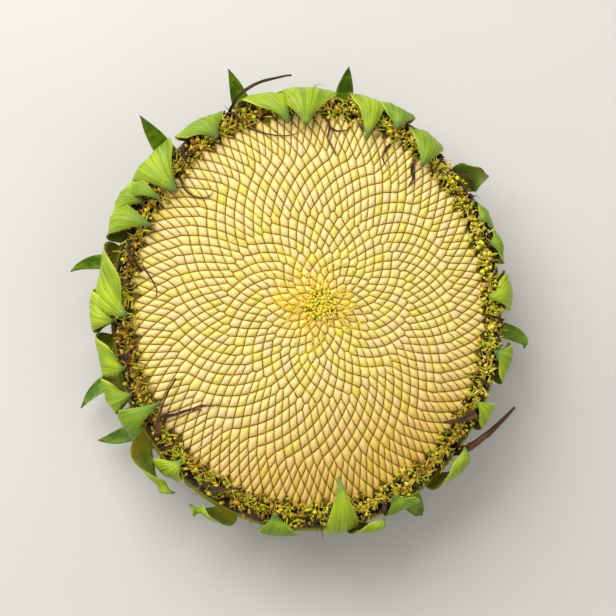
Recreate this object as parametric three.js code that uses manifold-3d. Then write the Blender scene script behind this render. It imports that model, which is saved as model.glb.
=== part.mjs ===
// A picked sunflower seed head, lying face up on the cut end of its stem. Millimetres, +Z up. The origin is
// the centre of the stem's cut face, which the head rests on. A dish-shaped receptacle carries a spiral
// relief of packed seeds. A tuft of unopened florets sits in the middle, and round the rim stand the last
// disc florets, the withered ray florets and two whorls of green bracts. A place on the head is a turn
// round it in degrees, counted from +X towards +Y, a radius and a height.
import * as THREE from "three";
import { mergeVertices } from "three/addons/utils/BufferGeometryUtils.js";
import Module from "manifold-3d";

const wasm = await Module();
wasm.setup();

// The seed disc is an oval: half its width, half its length, and the round radius that stands for both.
const HALF_WIDTH = 90.5;
const HALF_LENGTH = 101;
const DISC = (HALF_WIDTH + HALF_LENGTH) / 2;
// The stem and the middle of the receptacle are round, and the oval sets in between these radii.
const ROUND_WITHIN = 30;
const OVAL_BEYOND = 80;

// Seeds: how many stand in the spiral, which winds clockwise seen from above, how high their tips are at the
// rim, how much higher in the middle, how deep the furrows between them are, how far their tips lean out at
// the rim, and how far the last stand inside the oval.
const SEED_COUNT = 1250;
const SEED_TURN = -180 * (3 - Math.sqrt(5));
const SEED_RIM_HEIGHT = 46;
const SEED_CROWN = 9;
const CROWN_POWER = 2.4;
const SEED_RELIEF = 2.8;
const SEED_LEAN = 0.5;
const SEED_EDGE = 2.2;
const SPIRAL_OFF_CENTRE = [4.5, 1];
// The tuft of unopened florets stands in a pocket in the middle of the spiral.
const TUFT_RADIUS = 7.5;
const POCKET_RADIUS = 10.5;
const POCKET_DEPTH = 4;
const TUFT_FLORETS = 42;
const TUFT_RELIEF = 1.8;
const TUFT_RISE = 0.4;

// The receptacle's front is a low cone under the seeds, from this height in the middle to this one at the
// rim.
const FRONT_MIDDLE = 43;
const FRONT_RIM = 35;
const GAP = 0.4;
const STUB_RADIUS = 14;
// The receptacle's outside, from the stem's cut face up to its rim, as radius and height.
const OUTSIDE = [
  [STUB_RADIUS, 0],
  [STUB_RADIUS + 0.5, 7],
  [18.5, 11.5],
  [31, 15],
  [56, 18.5],
  [74, 21],
  [86, 23],
  [97, 27],
  [102, 31],
  [103.5, 34.5],
];
// Its lip, from the outside over the top to the front face.
const LIP = [
  [102, 37],
  [99, FRONT_RIM + 1],
  [DISC, FRONT_RIM],
];
const AROUND = 36;

// Each bract: the turn where it roots and where its tip is, how far its tip and its belly stand outside the
// seeds, the height of its tip, and its width.
const INNER_BRACTS = [
  { root: 168, tip: 183, out: 1.5, belly: 16, height: 50, width: 24 },
  { root: 159, tip: 156, out: -3.5, belly: 18, height: 52, width: 17 },
  { root: 152, tip: 151, out: 6, belly: 18, height: 47, width: 22 },
  { root: 149, tip: 148, out: -2.5, belly: 15, height: 54, width: 10 },
  { root: 139, tip: 143, out: -6.5, belly: 17, height: 53, width: 25 },
  { root: 124, tip: 122, out: -1, belly: 12, height: 52, width: 25 },
  { root: 107, tip: 98, out: -7, belly: 11, height: 53, width: 18 },
  { root: 92, tip: 92, out: -9, belly: 11, height: 55, width: 30 },
  { root: 74, tip: 70, out: -10.5, belly: 12, height: 54, width: 16 },
  { root: 65, tip: 62, out: 2, belly: 13, height: 51, width: 19 },
  { root: 55, tip: 49, out: -5.5, belly: 11, height: 52, width: 20 },
  { root: 38, tip: 34, out: 21, belly: 11, height: 44, width: 15 },
  { root: 27, tip: 25, out: 4, belly: 10, height: 50, width: 15 },
  { root: 17, tip: 18, out: 5, belly: 12, height: 50, width: 17 },
  { root: 6, tip: 3, out: -0.5, belly: 13, height: 51, width: 18 },
  { root: 346, tip: 348, out: 4.5, belly: 14, height: 50, width: 19 },
  { root: 331, tip: 333, out: 2.5, belly: 12, height: 52, width: 13 },
  { root: 310, tip: 321, out: 9, belly: 14, height: 50, width: 13 },
  { root: 298, tip: 296, out: 3, belly: 11, height: 49, width: 17 },
  { root: 279, tip: 280, out: -14.5, belly: 11, height: 55, width: 15 },
  { root: 284, tip: 291, out: 11, belly: 13, height: 50, width: 13 },
  { root: 262, tip: 259, out: 3, belly: 12, height: 49, width: 17 },
  { root: 246, tip: 236, out: 17, belly: 14, height: 40, width: 14 },
  { root: 225, tip: 227, out: 3, belly: 13, height: 49, width: 15 },
  { root: 216, tip: 231, out: 17, belly: 18, height: 42, width: 12 },
  { root: 209, tip: 210, out: -5, belly: 18, height: 52, width: 13 },
  { root: 201, tip: 204, out: 7, belly: 19, height: 47, width: 18 },
  { root: 190, tip: 197, out: 6, belly: 17, height: 48, width: 18 },
  { root: 180, tip: 184, out: 8, belly: 19, height: 48, width: 19 },
];
// Outer bracts whose long tips show beyond the rim.
const OUTER_BRACTS = [
  { root: 357, tip: 352, out: 25, belly: 27, height: 24, width: 8 },
  { root: 302, tip: 303, out: 21, belly: 18, height: 17, width: 11 },
  { root: 213, tip: 209, out: 32, belly: 22, height: 12, width: 9 },
  { root: 196, tip: 201, out: 34, belly: 24, height: 14, width: 8 },
  { root: 166, tip: 172, out: 33, belly: 25, height: 30, width: 8 },
  { root: 135, tip: 135, out: 33, belly: 20, height: 48, width: 11 },
  { root: 109, tip: 111, out: 27, belly: 18, height: 47, width: 10 },
  { root: 79, tip: 80, out: 23, belly: 17, height: 48, width: 10 },
];
// The rest of the outer whorl lies against the underside, at even turns with a little chance in them.
const BACK_BRACTS = 15;
// How much wider a bract's body is than the part of it that shows over the rim.
const BRACT_SWELL = 1.15;
const BRACT_THICKNESS = 1.8;
const BRACT_STEPS = 6;
// How strongly a bract's edges cup, and where each whorl roots, as a distance outside the seeds and a
// height.
const INNER_CUP = 0.35;
const OUTER_CUP = 0.4;
const INNER_ROOT = [8.7, 31];
const OUTER_ROOT = [-14, 19.9];
// Each whorl's roots run together in a thin collar on these stretches of the outside.
const INNER_COLLAR = { first: 8, last: 9, thickness: 2.4 };
const OUTER_COLLAR = { first: 5, last: 6, thickness: 3 };

// Withered rays: those that the eye picks out by their own turns. A short one stands in each gap between
// bracts.
const LONG_RAYS = [
  { root: 115, tip: 96, out: 14, belly: 14, height: 62, width: 2.6 },
  { root: 145, tip: 138, out: -17, belly: 2, height: 53, width: 2.2 },
  { root: 100, tip: 90, out: -8, belly: 0, height: 51, width: 2.4 },
  { root: 84, tip: 83, out: -20, belly: 2, height: 54, width: 1.8 },
  { root: 60, tip: 62, out: -20, belly: 0, height: 54, width: 1.8 },
  { root: 49, tip: 46, out: -14, belly: 2, height: 53, width: 4.5 },
  { root: 319, tip: 337, out: 24, belly: 15, height: 44, width: 5 },
  { root: 331, tip: 322, out: -7, belly: 1, height: 52, width: 5 },
  { root: 218, tip: 206, out: -17, belly: 0, height: 53, width: 3.4 },
  { root: 238, tip: 247, out: -3, belly: 1, height: 51, width: 4.5 },
  { root: 258, tip: 272, out: 8, belly: 9, height: 50, width: 2.6 },
  { root: 164, tip: 170, out: -5, belly: 1, height: 51, width: 2.4 },
];
const RAY_ROOT = [6, 38];
const RAY_THICKNESS = 1.1;
const RAY_LIFT = 12;
const RAY_LIFT_STEP = 1.5;
// The band that the rays root in, and the double crest of the last florets, as distances outside the seeds
// and heights.
const RAY_BAND = [
  [5, 38],
  [5.4, 43],
  [7, 43.5],
  [8.2, 39],
];
const FLORET_CREST = [
  [1.6, 36.5],
  [2, 47.5],
  [3.4, 47],
  [4.4, 37],
];
const FLORET_STEPS = 110;
const FLORET_RISE = 2.4;
const FLORET_TOP = 50.4;
// The seeds of the dice: for ragged crests, for rays and for bracts.
const CREST_DICE = 20817;
const RAY_DICE = 4711;
const BRACT_DICE = 1123;

const COLOURS = {
  receptacle: 0x9fae55,
  seeds: 0xe6cf92,
  tuft: 0xdcb52c,
  bracts: 0x6f9e1c,
  rays: 0x4f3418,
  florets: 0x9c9a2b,
};

const DEGREE = Math.PI / 180;

// Seeded chance, so that every build is the same. Each use has dice of its own.
function diceOf(seed) {
  let state = seed;
  return (low, high) => {
    state = (Math.imul(state, 1664525) + 1013904223) >>> 0;
    return low + ((high - low) * state) / 4294967296;
  };
}

// The point at a turn, a radius and a height: round near the stem, oval out at the seeds.
function place(turn, radius, height) {
  const ease = THREE.MathUtils.smoothstep(radius, ROUND_WITHIN, OVAL_BEYOND);
  const wide = radius * (1 + ease * (HALF_WIDTH / DISC - 1));
  const long = radius * (1 + ease * (HALF_LENGTH / DISC - 1));
  return new THREE.Vector3(
    wide * Math.cos(turn * DEGREE),
    long * Math.sin(turn * DEGREE),
    height,
  );
}

// The height of the seeds' tips at a share of the disc's radius.
function seedTop(share) {
  return SEED_RIM_HEIGHT + SEED_CROWN * (1 - Math.min(share, 1) ** CROWN_POWER);
}

// A triangle mesh as a solid, and a solid as a geometry again.
function solidOf(geometry) {
  const bare = new THREE.BufferGeometry();
  bare.setAttribute("position", geometry.getAttribute("position"));
  bare.setIndex(geometry.getIndex());
  const merged = mergeVertices(bare, 1e-3);
  return new wasm.Manifold(
    new wasm.Mesh({
      numProp: 3,
      vertProperties: merged.attributes.position.array,
      triVerts: new Uint32Array(merged.index.array),
    }),
  );
}

function geometryOf(solid) {
  const mesh = solid.getMesh();
  const geometry = new THREE.BufferGeometry();
  geometry.setAttribute("position", new THREE.BufferAttribute(mesh.vertProperties, 3));
  geometry.setIndex(new THREE.BufferAttribute(mesh.triVerts, 1));
  return geometry;
}

// The largest body of a solid: a hollow that joining sealed is filled, and a loose scrap is dropped.
function oneBody(solid) {
  return solid.decompose().reduce((most, next) => (next.volume() > most.volume() ? next : most));
}

function fuse(solids) {
  const joined = oneBody(solids.reduce((whole, next) => whole.add(next)));
  return oneBody(solidOf(geometryOf(joined)));
}

function indexed(points, faces) {
  const geometry = new THREE.BufferGeometry();
  const flat = points.flatMap((p) => [p.x, p.y, p.z]);
  geometry.setAttribute("position", new THREE.Float32BufferAttribute(flat, 3));
  geometry.setIndex(faces);
  return geometry;
}

// The Delaunay triangles of points in a plane, each with the centre of the circle through its corners.
function delaunay(points) {
  const far = 20 * DISC;
  const all = [...points, [-far, -far], [far, -far], [0, far]];
  const triangle = (a, b, c) => {
    const [ax, ay] = all[a];
    const [bx, by] = [all[b][0] - ax, all[b][1] - ay];
    const [cx, cy] = [all[c][0] - ax, all[c][1] - ay];
    const twice = 2 * (bx * cy - by * cx);
    const x = (cy * (bx * bx + by * by) - by * (cx * cx + cy * cy)) / twice;
    const y = (bx * (cx * cx + cy * cy) - cx * (bx * bx + by * by)) / twice;
    return { corners: [a, b, c], x: ax + x, y: ay + y, reach: x * x + y * y };
  };
  const first = points.length;
  let live = [triangle(first, first + 1, first + 2)];
  points.forEach(([px, py], i) => {
    const rim = new Map();
    const kept = [];
    for (const t of live) {
      if ((px - t.x) ** 2 + (py - t.y) ** 2 >= t.reach) {
        kept.push(t);
        continue;
      }
      t.corners.forEach((a, k) => {
        const b = t.corners[(k + 1) % 3];
        const key = Math.min(a, b) + "," + Math.max(a, b);
        if (rim.has(key)) rim.delete(key);
        else rim.set(key, [a, b]);
      });
    }
    live = kept;
    for (const [a, b] of rim.values()) live.push(triangle(a, b, i));
  });
  return live;
}

// A relief of packed points that stand up from a floor: each of the first `count` points is the tip of one,
// and the circle centres round it are the low corners that it shares with its neighbours. The points past
// `count` only shape the outer ones, whose outer corners go down to the floor. `tipOf` places a tip,
// `lowOf` and `floorOf` give heights.
function packedRelief(points, count, tipOf, lowOf, floorOf) {
  const triangles = delaunay(points);
  const round = points.map(() => []);
  triangles.forEach((t, i) => {
    for (const c of t.corners) if (c < count) round[c].push(i);
  });
  const corners = new Map();
  const made = [];
  const cornerOf = (i) => {
    if (!corners.has(i)) {
      corners.set(i, made.length);
      made.push(new THREE.Vector3(triangles[i].x, triangles[i].y, lowOf(triangles[i])));
    }
    return corners.get(i);
  };
  const faces = [];
  const edges = new Map();
  for (let p = 0; p < count; p++) {
    const [px, py] = points[p];
    const angle = (i) => Math.atan2(triangles[i].y - py, triangles[i].x - px);
    const ring = [...round[p]].sort((a, b) => angle(a) - angle(b)).map(cornerOf);
    const tip = made.push(tipOf(px, py)) - 1;
    ring.forEach((a, k) => {
      const b = ring[(k + 1) % ring.length];
      faces.push(tip, a, b);
      if (edges.has(b + "," + a)) edges.delete(b + "," + a);
      else edges.set(a + "," + b, [a, b]);
    });
  }
  const middle = made.push(new THREE.Vector3(0, 0, floorOf(0, 0))) - 1;
  for (const [a, b] of edges.values()) {
    made[a].z = floorOf(made[a].x, made[a].y);
    faces.push(middle, b, a);
  }
  return indexed(made, faces);
}

// A ring with the given cross-section, which turns from inside to outside over the top, as radius and
// height. `rise` and `shift` are how far chance moves the crest up and down and in and out, so that it is
// ragged.
function ringOf(section, around = AROUND, rise = 0, shift = 0) {
  const chance = diceOf(CREST_DICE);
  const sides = section.length;
  const points = [];
  const faces = [];
  for (let i = 0; i < around; i++) {
    section.forEach(([radius, height], k) => {
      const crest = k > 0 && k < sides - 1 ? 1 : 0;
      const out = crest * chance(-shift, shift);
      const up = crest * chance(-rise, rise);
      points.push(place((360 * i) / around, radius + out, height + up));
    });
  }
  for (let i = 0; i < around; i++) {
    for (let k = 0; k < sides; k++) {
      const a = i * sides + k;
      const b = i * sides + ((k + 1) % sides);
      const c = ((i + 1) % around) * sides + k;
      const d = ((i + 1) % around) * sides + ((k + 1) % sides);
      faces.push(a, b, c, b, d, c);
    }
  }
  return indexed(points, faces);
}

function outsideSeeds(section) {
  return section.map(([distance, height]) => [DISC + distance, height]);
}

// Where the spine of a blade is at a share of its length: a cubic curve in turn, radius and height, which
// goes no lower than `lowest` at its radius.
function spineOf(knots, lowest = () => 0) {
  return (share) => {
    const rest = 1 - share;
    const weights = [rest ** 3, 3 * rest ** 2 * share, 3 * rest * share ** 2, share ** 3];
    const sum = (axis) => knots.reduce((total, knot, i) => total + weights[i] * knot[axis], 0);
    return place(sum(0), sum(1), Math.max(sum(2), lowest(sum(1))));
  };
}

// The lowest that a thing of this thickness may lie on the seeds and, near the rim, on the floret remains.
function restingOn(thickness) {
  return (radius) => {
    if (radius > DISC + RAY_BAND[1][0]) return 0;
    const near = THREE.MathUtils.smoothstep(radius, DISC - 9, DISC - 1);
    const under = THREE.MathUtils.lerp(seedTop(radius / DISC) + GAP, FLORET_TOP, near);
    return under + thickness;
  };
}

// Sections of a blade: a bract folds along its thick middle line, a withered ray is three-sided.
const FOLDED = [
  [-1, 0],
  [0, 0.5],
  [1, 0],
  [0, -0.5],
];
const THREE_SIDED = [
  [-1, 0.5],
  [1, 0.5],
  [0, -0.5],
];

// The width of a bract at a share of its length: broad at the root, and drawn out to a fine tip.
function bractWidth(share) {
  return Math.max(0.07, Math.sin(Math.PI * (0.18 + 0.8 * share)) ** (0.75 + 0.35 * share));
}

// A withered ray is narrow all along and thins towards its tip.
function rayWidth(share) {
  return 1 - 0.72 * share ** 1.5;
}

// A blade along a spine, with a section of points as shares of its width and of its thickness. `cup` lifts
// its edges off the middle line more and more towards the tip, `wave` rolls it from side to side and
// `twist` turns its tip round.
function bladeOf({ spine, width, widthAt, section, thickness, steps, cup, wave = 0, twist = 0 }) {
  const sides = section.length;
  const points = [];
  const faces = [];
  for (let i = 0; i <= steps; i++) {
    const share = i / steps;
    const here = spine(share);
    const along = spine(share + 0.01).sub(spine(share - 0.01)).normalize();
    const turning = new THREE.Vector3(-here.y, here.x, 0).normalize();
    const side = turning.addScaledVector(along, -turning.dot(along)).normalize();
    side.applyAxisAngle(along, twist * share + wave * Math.sin(7 * share));
    const outward = side.clone().cross(along).normalize();
    const half = (width / 2) * widthAt(share);
    for (const [across, deep] of section) {
      const lift = deep * thickness - cup * share * half * across * across;
      points.push(here.clone().addScaledVector(side, across * half).addScaledVector(outward, lift));
    }
  }
  for (let i = 0; i < steps; i++) {
    for (let k = 0; k < sides; k++) {
      const a = i * sides + k;
      const b = i * sides + ((k + 1) % sides);
      faces.push(a, b, b + sides, a, b + sides, a + sides);
    }
  }
  for (let k = 1; k + 1 < sides; k++) {
    const last = steps * sides;
    faces.push(0, k + 1, k);
    faces.push(last, last + k, last + k + 1);
  }
  return solidOf(indexed(points, faces));
}

// A bract that rises from the rim and curls over the seeds.
function innerBract({ root, tip, out, belly, height, width }) {
  const knots = [
    [root, DISC + INNER_ROOT[0], INNER_ROOT[1]],
    [root, DISC + 1.15 * belly + 1, INNER_ROOT[1] + 3],
    [0.4 * root + 0.6 * tip, DISC + 1.25 * belly, height + 6],
    [tip, DISC + out, height],
  ];
  return bladeOf({
    spine: spineOf(knots, restingOn(BRACT_THICKNESS)),
    width: width * BRACT_SWELL,
    widthAt: bractWidth,
    section: FOLDED,
    thickness: BRACT_THICKNESS,
    steps: BRACT_STEPS,
    cup: INNER_CUP,
  });
}

// A bract that roots lower on the outside and stands away from the head.
function outerBract({ root, tip, out, belly, height, width }) {
  const knots = [
    [root, DISC + OUTER_ROOT[0], OUTER_ROOT[1]],
    [root, DISC + 0.5 * belly, OUTER_ROOT[1]],
    [0.5 * (root + tip), DISC + 1.1 * belly, 0.5 * height + 13],
    [tip, DISC + out, height],
  ];
  return bladeOf({
    spine: spineOf(knots),
    width,
    widthAt: bractWidth,
    section: FOLDED,
    thickness: BRACT_THICKNESS,
    steps: BRACT_STEPS,
    cup: OUTER_CUP,
  });
}

// A thin band on the receptacle's outside, between two radii and heights of it, where a whorl's roots run
// together.
function collar({ first, last, thickness }) {
  const wall = OUTSIDE.slice(first, last + 1);
  const offset = (distance) =>
    wall.map(([radius, height], i) => {
      const [r0, z0] = wall[Math.max(i - 1, 0)];
      const [r1, z1] = wall[Math.min(i + 1, wall.length - 1)];
      const length = Math.hypot(r1 - r0, z1 - z0);
      return [
        radius + (distance * (z1 - z0)) / length,
        height - (distance * (r1 - r0)) / length,
      ];
    });
  return solidOf(ringOf([...offset(GAP), ...offset(thickness).reverse()]));
}

function receptacle() {
  const profile = [[0, 0], ...OUTSIDE, ...LIP, [0, FRONT_MIDDLE]];
  const lathe = new THREE.LatheGeometry(
    profile.map(([radius, height]) => new THREE.Vector2(radius, height)),
    AROUND,
  );
  lathe.rotateX(Math.PI / 2);
  const positions = lathe.getAttribute("position");
  for (let i = 0; i < positions.count; i++) {
    const radius = Math.hypot(positions.getX(i), positions.getY(i));
    const turn = Math.atan2(positions.getY(i), positions.getX(i)) / DEGREE;
    const { x, y, z } = place(turn, radius, positions.getZ(i));
    positions.setXYZ(i, x, y, z);
  }
  return solidOf(lathe);
}

// Points in a golden spiral, as many as `count` inside `radius`, and `more` past it. Its middle lies off
// the centre by `off`, and its rim doesn't.
function spiral(count, more, radius, off) {
  return Array.from({ length: count + more }, (_, i) => {
    const share = Math.sqrt((i + 0.5) / count);
    const { x, y } = place(i * SEED_TURN, share * radius, 0);
    const shift = Math.max(0, 1 - share * share);
    return [x + shift * off[0], y + shift * off[1]];
  });
}

function shareOf(x, y) {
  return Math.hypot(x / HALF_WIDTH, y / HALF_LENGTH);
}

function frontHeight(x, y) {
  return FRONT_MIDDLE - (FRONT_MIDDLE - FRONT_RIM) * shareOf(x, y);
}

function seeds() {
  const relief = packedRelief(
    spiral(SEED_COUNT, 150, DISC - SEED_EDGE, SPIRAL_OFF_CENTRE),
    SEED_COUNT,
    (x, y) => {
      const share = shareOf(x, y);
      const lean = 1 + (SEED_LEAN * share) / DISC;
      return new THREE.Vector3(x * lean, y * lean, seedTop(share));
    },
    ({ x, y }) => seedTop(shareOf(x, y)) - SEED_RELIEF,
    (x, y) => frontHeight(x, y) + GAP,
  );
  const [x, y] = SPIRAL_OFF_CENTRE;
  const pocket = new THREE.CylinderGeometry(POCKET_RADIUS, POCKET_RADIUS, 2 * POCKET_DEPTH, 24);
  pocket.rotateX(Math.PI / 2);
  pocket.translate(x, y, seedTop(0));
  return solidOf(relief).subtract(solidOf(pocket));
}

function tuft() {
  const relief = packedRelief(
    spiral(TUFT_FLORETS, 40, TUFT_RADIUS, [0, 0]),
    TUFT_FLORETS,
    (x, y) => new THREE.Vector3(x, y, TUFT_RISE),
    () => TUFT_RISE - TUFT_RELIEF,
    () => GAP - POCKET_DEPTH,
  );
  const [x, y] = SPIRAL_OFF_CENTRE;
  return solidOf(relief.translate(x, y, seedTop(0)));
}

function innerBracts() {
  return fuse([collar(INNER_COLLAR), ...INNER_BRACTS.map(innerBract)]);
}

function outerBracts() {
  const chance = diceOf(BRACT_DICE);
  const back = Array.from({ length: BACK_BRACTS }, (_, i) => {
    const root = ((i + 0.5) * 360) / BACK_BRACTS + chance(-5, 5);
    return {
      root,
      tip: root + chance(-4, 4),
      out: chance(5, 10),
      belly: chance(6, 9),
      height: chance(22, 27),
      width: chance(17, 22),
    };
  });
  return fuse([collar(OUTER_COLLAR), ...[...OUTER_BRACTS, ...back].map(outerBract)]);
}

// A withered ray, lifted step by step until it lies over the bracts that it would run into.
function witheredRay({ root, tip, out, belly, height, width, steps = 5 }, bracts, chance) {
  const wave = chance(0.2, 0.6);
  const twist = chance(-1.2, 1.2);
  const made = (lift, more) => {
    const knots = [
      [root, DISC + RAY_ROOT[0], RAY_ROOT[1]],
      [root, DISC + RAY_ROOT[0] + 0.4 * belly, height + 2 + lift],
      [0.5 * (root + tip), DISC + belly, height + 3 + 1.4 * lift],
      [tip, DISC + out, height + lift],
    ];
    return bladeOf({
      spine: spineOf(knots, restingOn(0.5 * width)),
      width: width + more,
      widthAt: rayWidth,
      section: THREE_SIDED,
      thickness: RAY_THICKNESS + more,
      steps,
      cup: 0.3,
      wave,
      twist,
    });
  };
  for (let lift = 0; lift <= RAY_LIFT; lift += RAY_LIFT_STEP) {
    if (made(lift, 2 * GAP).intersect(bracts).volume() === 0) return made(lift, 0);
  }
  return null;
}

function witheredRays(bracts) {
  const chance = diceOf(RAY_DICE);
  const roots = INNER_BRACTS.map(({ root }) => root).sort((a, b) => a - b);
  const gaps = roots.map((root, i) => 0.5 * (root + (roots[i + 1] ?? roots[0] + 360)));
  const short = gaps.map((root) => ({
    root,
    tip: root + chance(-3, 3),
    out: chance(-4, 7),
    belly: chance(2, 8),
    height: chance(48, 52),
    width: chance(2.4, 4.2),
    steps: 4,
  }));
  const rays = [...LONG_RAYS, ...short].map((ray) => witheredRay(ray, bracts, chance));
  const band = solidOf(ringOf(outsideSeeds(RAY_BAND), AROUND, 1.5, 0.3));
  return fuse([band, ...rays.filter((ray) => ray)]);
}

// The last florets stand as a ragged double crest of crumbs right round the seeds.
function floretRemains() {
  return solidOf(ringOf(outsideSeeds(FLORET_CREST), FLORET_STEPS, FLORET_RISE, 0.35));
}

const head = new THREE.Group();

function add(name, solid, colour, roughness) {
  const material = new THREE.MeshStandardMaterial({ color: colour, roughness, metalness: 0 });
  const mesh = new THREE.Mesh(geometryOf(solid), material);
  mesh.name = name;
  head.add(mesh);
}

const bracts = innerBracts();
add("receptacle", receptacle(), COLOURS.receptacle, 0.75);
add("seeds", seeds(), COLOURS.seeds, 0.55);
add("centre_florets", tuft(), COLOURS.tuft, 0.7);
add("floret_remains", floretRemains(), COLOURS.florets, 0.85);
add("withered_rays", witheredRays(bracts), COLOURS.rays, 0.85);
add("inner_bracts", bracts, COLOURS.bracts, 0.6);
add("outer_bracts", outerBracts(), COLOURS.bracts, 0.6);

export default head;
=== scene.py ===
"""A picked sunflower seed head, lying face up, built as an add-on with one operator for each piece.

Shapes are worked out in millimetres and turned into metres as each mesh is made. A place on the head is a
turn round it in degrees, counted from +X towards +Y, a radius and a height. The radius is that of a round
head, and `place` turns it into the oval of the real one.
"""

import math
import random

import bpy
from bpy.props import FloatProperty, FloatVectorProperty, IntProperty, PointerProperty
from mathutils import Matrix, Quaternion, Vector, noise
from mathutils.bvhtree import BVHTree


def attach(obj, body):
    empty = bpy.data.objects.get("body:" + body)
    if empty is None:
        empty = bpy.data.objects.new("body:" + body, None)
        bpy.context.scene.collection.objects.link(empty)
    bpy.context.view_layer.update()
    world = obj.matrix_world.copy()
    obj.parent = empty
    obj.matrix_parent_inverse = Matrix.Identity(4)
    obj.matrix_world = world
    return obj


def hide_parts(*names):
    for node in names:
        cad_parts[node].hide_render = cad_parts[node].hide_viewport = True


bl_info = {
    "name": "Sunflower seed head",
    "version": (1, 0, 0),
    "blender": (4, 5, 0),
    "location": "View3D > Sidebar > Seed head",
    "description": "Builds the pieces of a picked sunflower head: seeds, florets, rays, bracts, receptacle",
    "category": "Add Mesh",
}

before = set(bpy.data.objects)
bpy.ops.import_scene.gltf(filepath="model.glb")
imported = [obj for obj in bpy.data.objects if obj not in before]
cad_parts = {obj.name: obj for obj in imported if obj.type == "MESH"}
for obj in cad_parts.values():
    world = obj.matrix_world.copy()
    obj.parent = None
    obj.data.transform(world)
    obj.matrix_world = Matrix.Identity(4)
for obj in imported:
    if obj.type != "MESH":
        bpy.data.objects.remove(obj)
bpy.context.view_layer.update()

# A millimetre in metres, and the gap that keeps pieces apart
MM = 0.001
GAP = 0.4

# The seed disc. The head is round near the stem, and oval out at the seeds
HALF_WIDTH = 90.5
HALF_LENGTH = 101.0
DISC = (HALF_WIDTH + HALF_LENGTH) / 2
ROUND_WITHIN = 30.0
OVAL_BEYOND = 80.0

# The spiral of the seeds, clockwise from its middle, which lies off the centre of the disc, and the dome
# of the seeds' tops over its rim
GOLDEN_TURN = -math.pi * (3 - math.sqrt(5))
OFF_CENTRE = (4.5, 1.0)
SEED_EDGE = 2.2
RIM_HEIGHT = 46.0
CROWN = 9.0
CROWN_POWER = 2.4

# The height of the receptacle's front under the seeds, in the middle and at the rim
FRONT_MIDDLE = 43.0
FRONT_RIM = 35.0

# The receptacle's outside, from the stem's cut face up to the rim, and its lip, as radius and height
STUMP = [(14, 0), (14.5, 7), (18.5, 11.5)]
OUTSIDE = STUMP + [(31, 15), (56, 18.5), (74, 21), (86, 23), (97, 27), (102, 31), (103.5, 34.5)]
LIP = [(102, 37), (99, 36), (DISC, 35)]

# Each bract: the turns of its root and its tip, how far its tip and its belly stand outside the seeds, the
# height of its tip, and its width
INNER_BRACTS = [
    (168, 183, 1.5, 16, 50, 24),
    (159, 156, -3.5, 18, 52, 17),
    (152, 151, 6, 18, 47, 22),
    (149, 148, -2.5, 15, 54, 10),
    (139, 143, -6.5, 17, 53, 25),
    (124, 122, -1, 12, 52, 25),
    (107, 98, -7, 11, 53, 18),
    (92, 92, -9, 11, 55, 30),
    (74, 70, -10.5, 12, 54, 16),
    (65, 62, 2, 13, 51, 19),
    (55, 49, -5.5, 11, 52, 20),
    (38, 34, 21, 11, 44, 15),
    (27, 25, 4, 10, 50, 15),
    (17, 18, 5, 12, 50, 17),
    (6, 3, -0.5, 13, 51, 18),
    (346, 348, 4.5, 14, 50, 19),
    (331, 333, 2.5, 12, 52, 13),
    (310, 321, 9, 14, 50, 13),
    (298, 296, 3, 11, 49, 17),
    (279, 280, -14.5, 11, 55, 15),
    (284, 291, 11, 13, 50, 13),
    (262, 259, 3, 12, 49, 17),
    (246, 236, 17, 14, 40, 14),
    (225, 227, 3, 13, 49, 15),
    (216, 231, 17, 18, 42, 12),
    (209, 210, -5, 18, 52, 13),
    (201, 204, 7, 19, 47, 18),
    (190, 197, 6, 17, 48, 18),
    (180, 184, 8, 19, 48, 19),
]
OUTER_BRACTS = [
    (357, 352, 25, 27, 24, 8),
    (302, 303, 21, 18, 17, 11),
    (213, 209, 32, 22, 12, 9),
    (196, 201, 34, 24, 14, 8),
    (166, 172, 33, 25, 30, 8),
    (135, 135, 33, 20, 48, 11),
    (109, 111, 27, 18, 47, 10),
    (79, 80, 23, 17, 48, 10),
]
BACK_BRACTS = 15
BRACT_DICE = 1123

# Bracts: a factor on the widths of the inner ones, the thickness in the middle and at the margin, how far
# the margins turn in, and each root as a distance outside the seeds and a height
INNER_SWELL = 1.15
BRACT_THICKNESS = 1.8
MARGIN_THICKNESS = 0.32
INNER_CUP = 0.35
OUTER_CUP = 0.4
INNER_ROOT = (8.7, 31)
OUTER_ROOT = (-14, 19.9)

# The margin of a bract, from this share of its half width, and the heights between which the back is
# hairy
MARGIN = 0.88
HAIRY_FROM = 3.0
HAIRY_TO = 30.0

# The collars where roots run together, each as its first and last point on the outside and its thickness
INNER_COLLAR = (8, 9, 2.4)
OUTER_COLLAR = (5, 6, 3)

# The withered rays that the eye picks out, with the same six values as a bract
LONG_RAYS = [
    (115, 96, 14, 14, 62, 2.6),
    (145, 138, -17, 2, 53, 2.2),
    (100, 90, -8, 0, 51, 2.4),
    (84, 83, -20, 2, 54, 1.8),
    (60, 62, -20, 0, 54, 1.8),
    (49, 46, -14, 2, 53, 4.5),
    (319, 337, 24, 15, 44, 5),
    (331, 322, -7, 1, 52, 5),
    (218, 206, -17, 0, 53, 3.4),
    (238, 247, -3, 1, 51, 4.5),
    (258, 272, 8, 9, 50, 2.6),
    (164, 170, -5, 1, 51, 2.4),
]
RAY_DICE = 4711

# Rays: how fast they twist to and fro, the root as a distance outside the seeds and a height, the
# thickness, how far the margins turn in, and how often and how far a ray is lifted to clear the bracts
WAVE_PACE = 7
RAY_ROOT = (6, 38)
RAY_THICKNESS = 1.1
RAY_CUP = 0.3
RAY_LIFTS = 9
RAY_LIFT_STEP = 1.5

# The bands that rays and florets stand in, as distances outside the seeds and heights, and the height of
# the crumbs on them
RAY_BAND = [(5, 38), (5.4, 43), (7, 43.5), (8.2, 39)]
FLORET_CREST = [(1.6, 36.5), (2, 47.5), (3.4, 47), (4.4, 37)]
FLORET_TOP = 50.4

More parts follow.
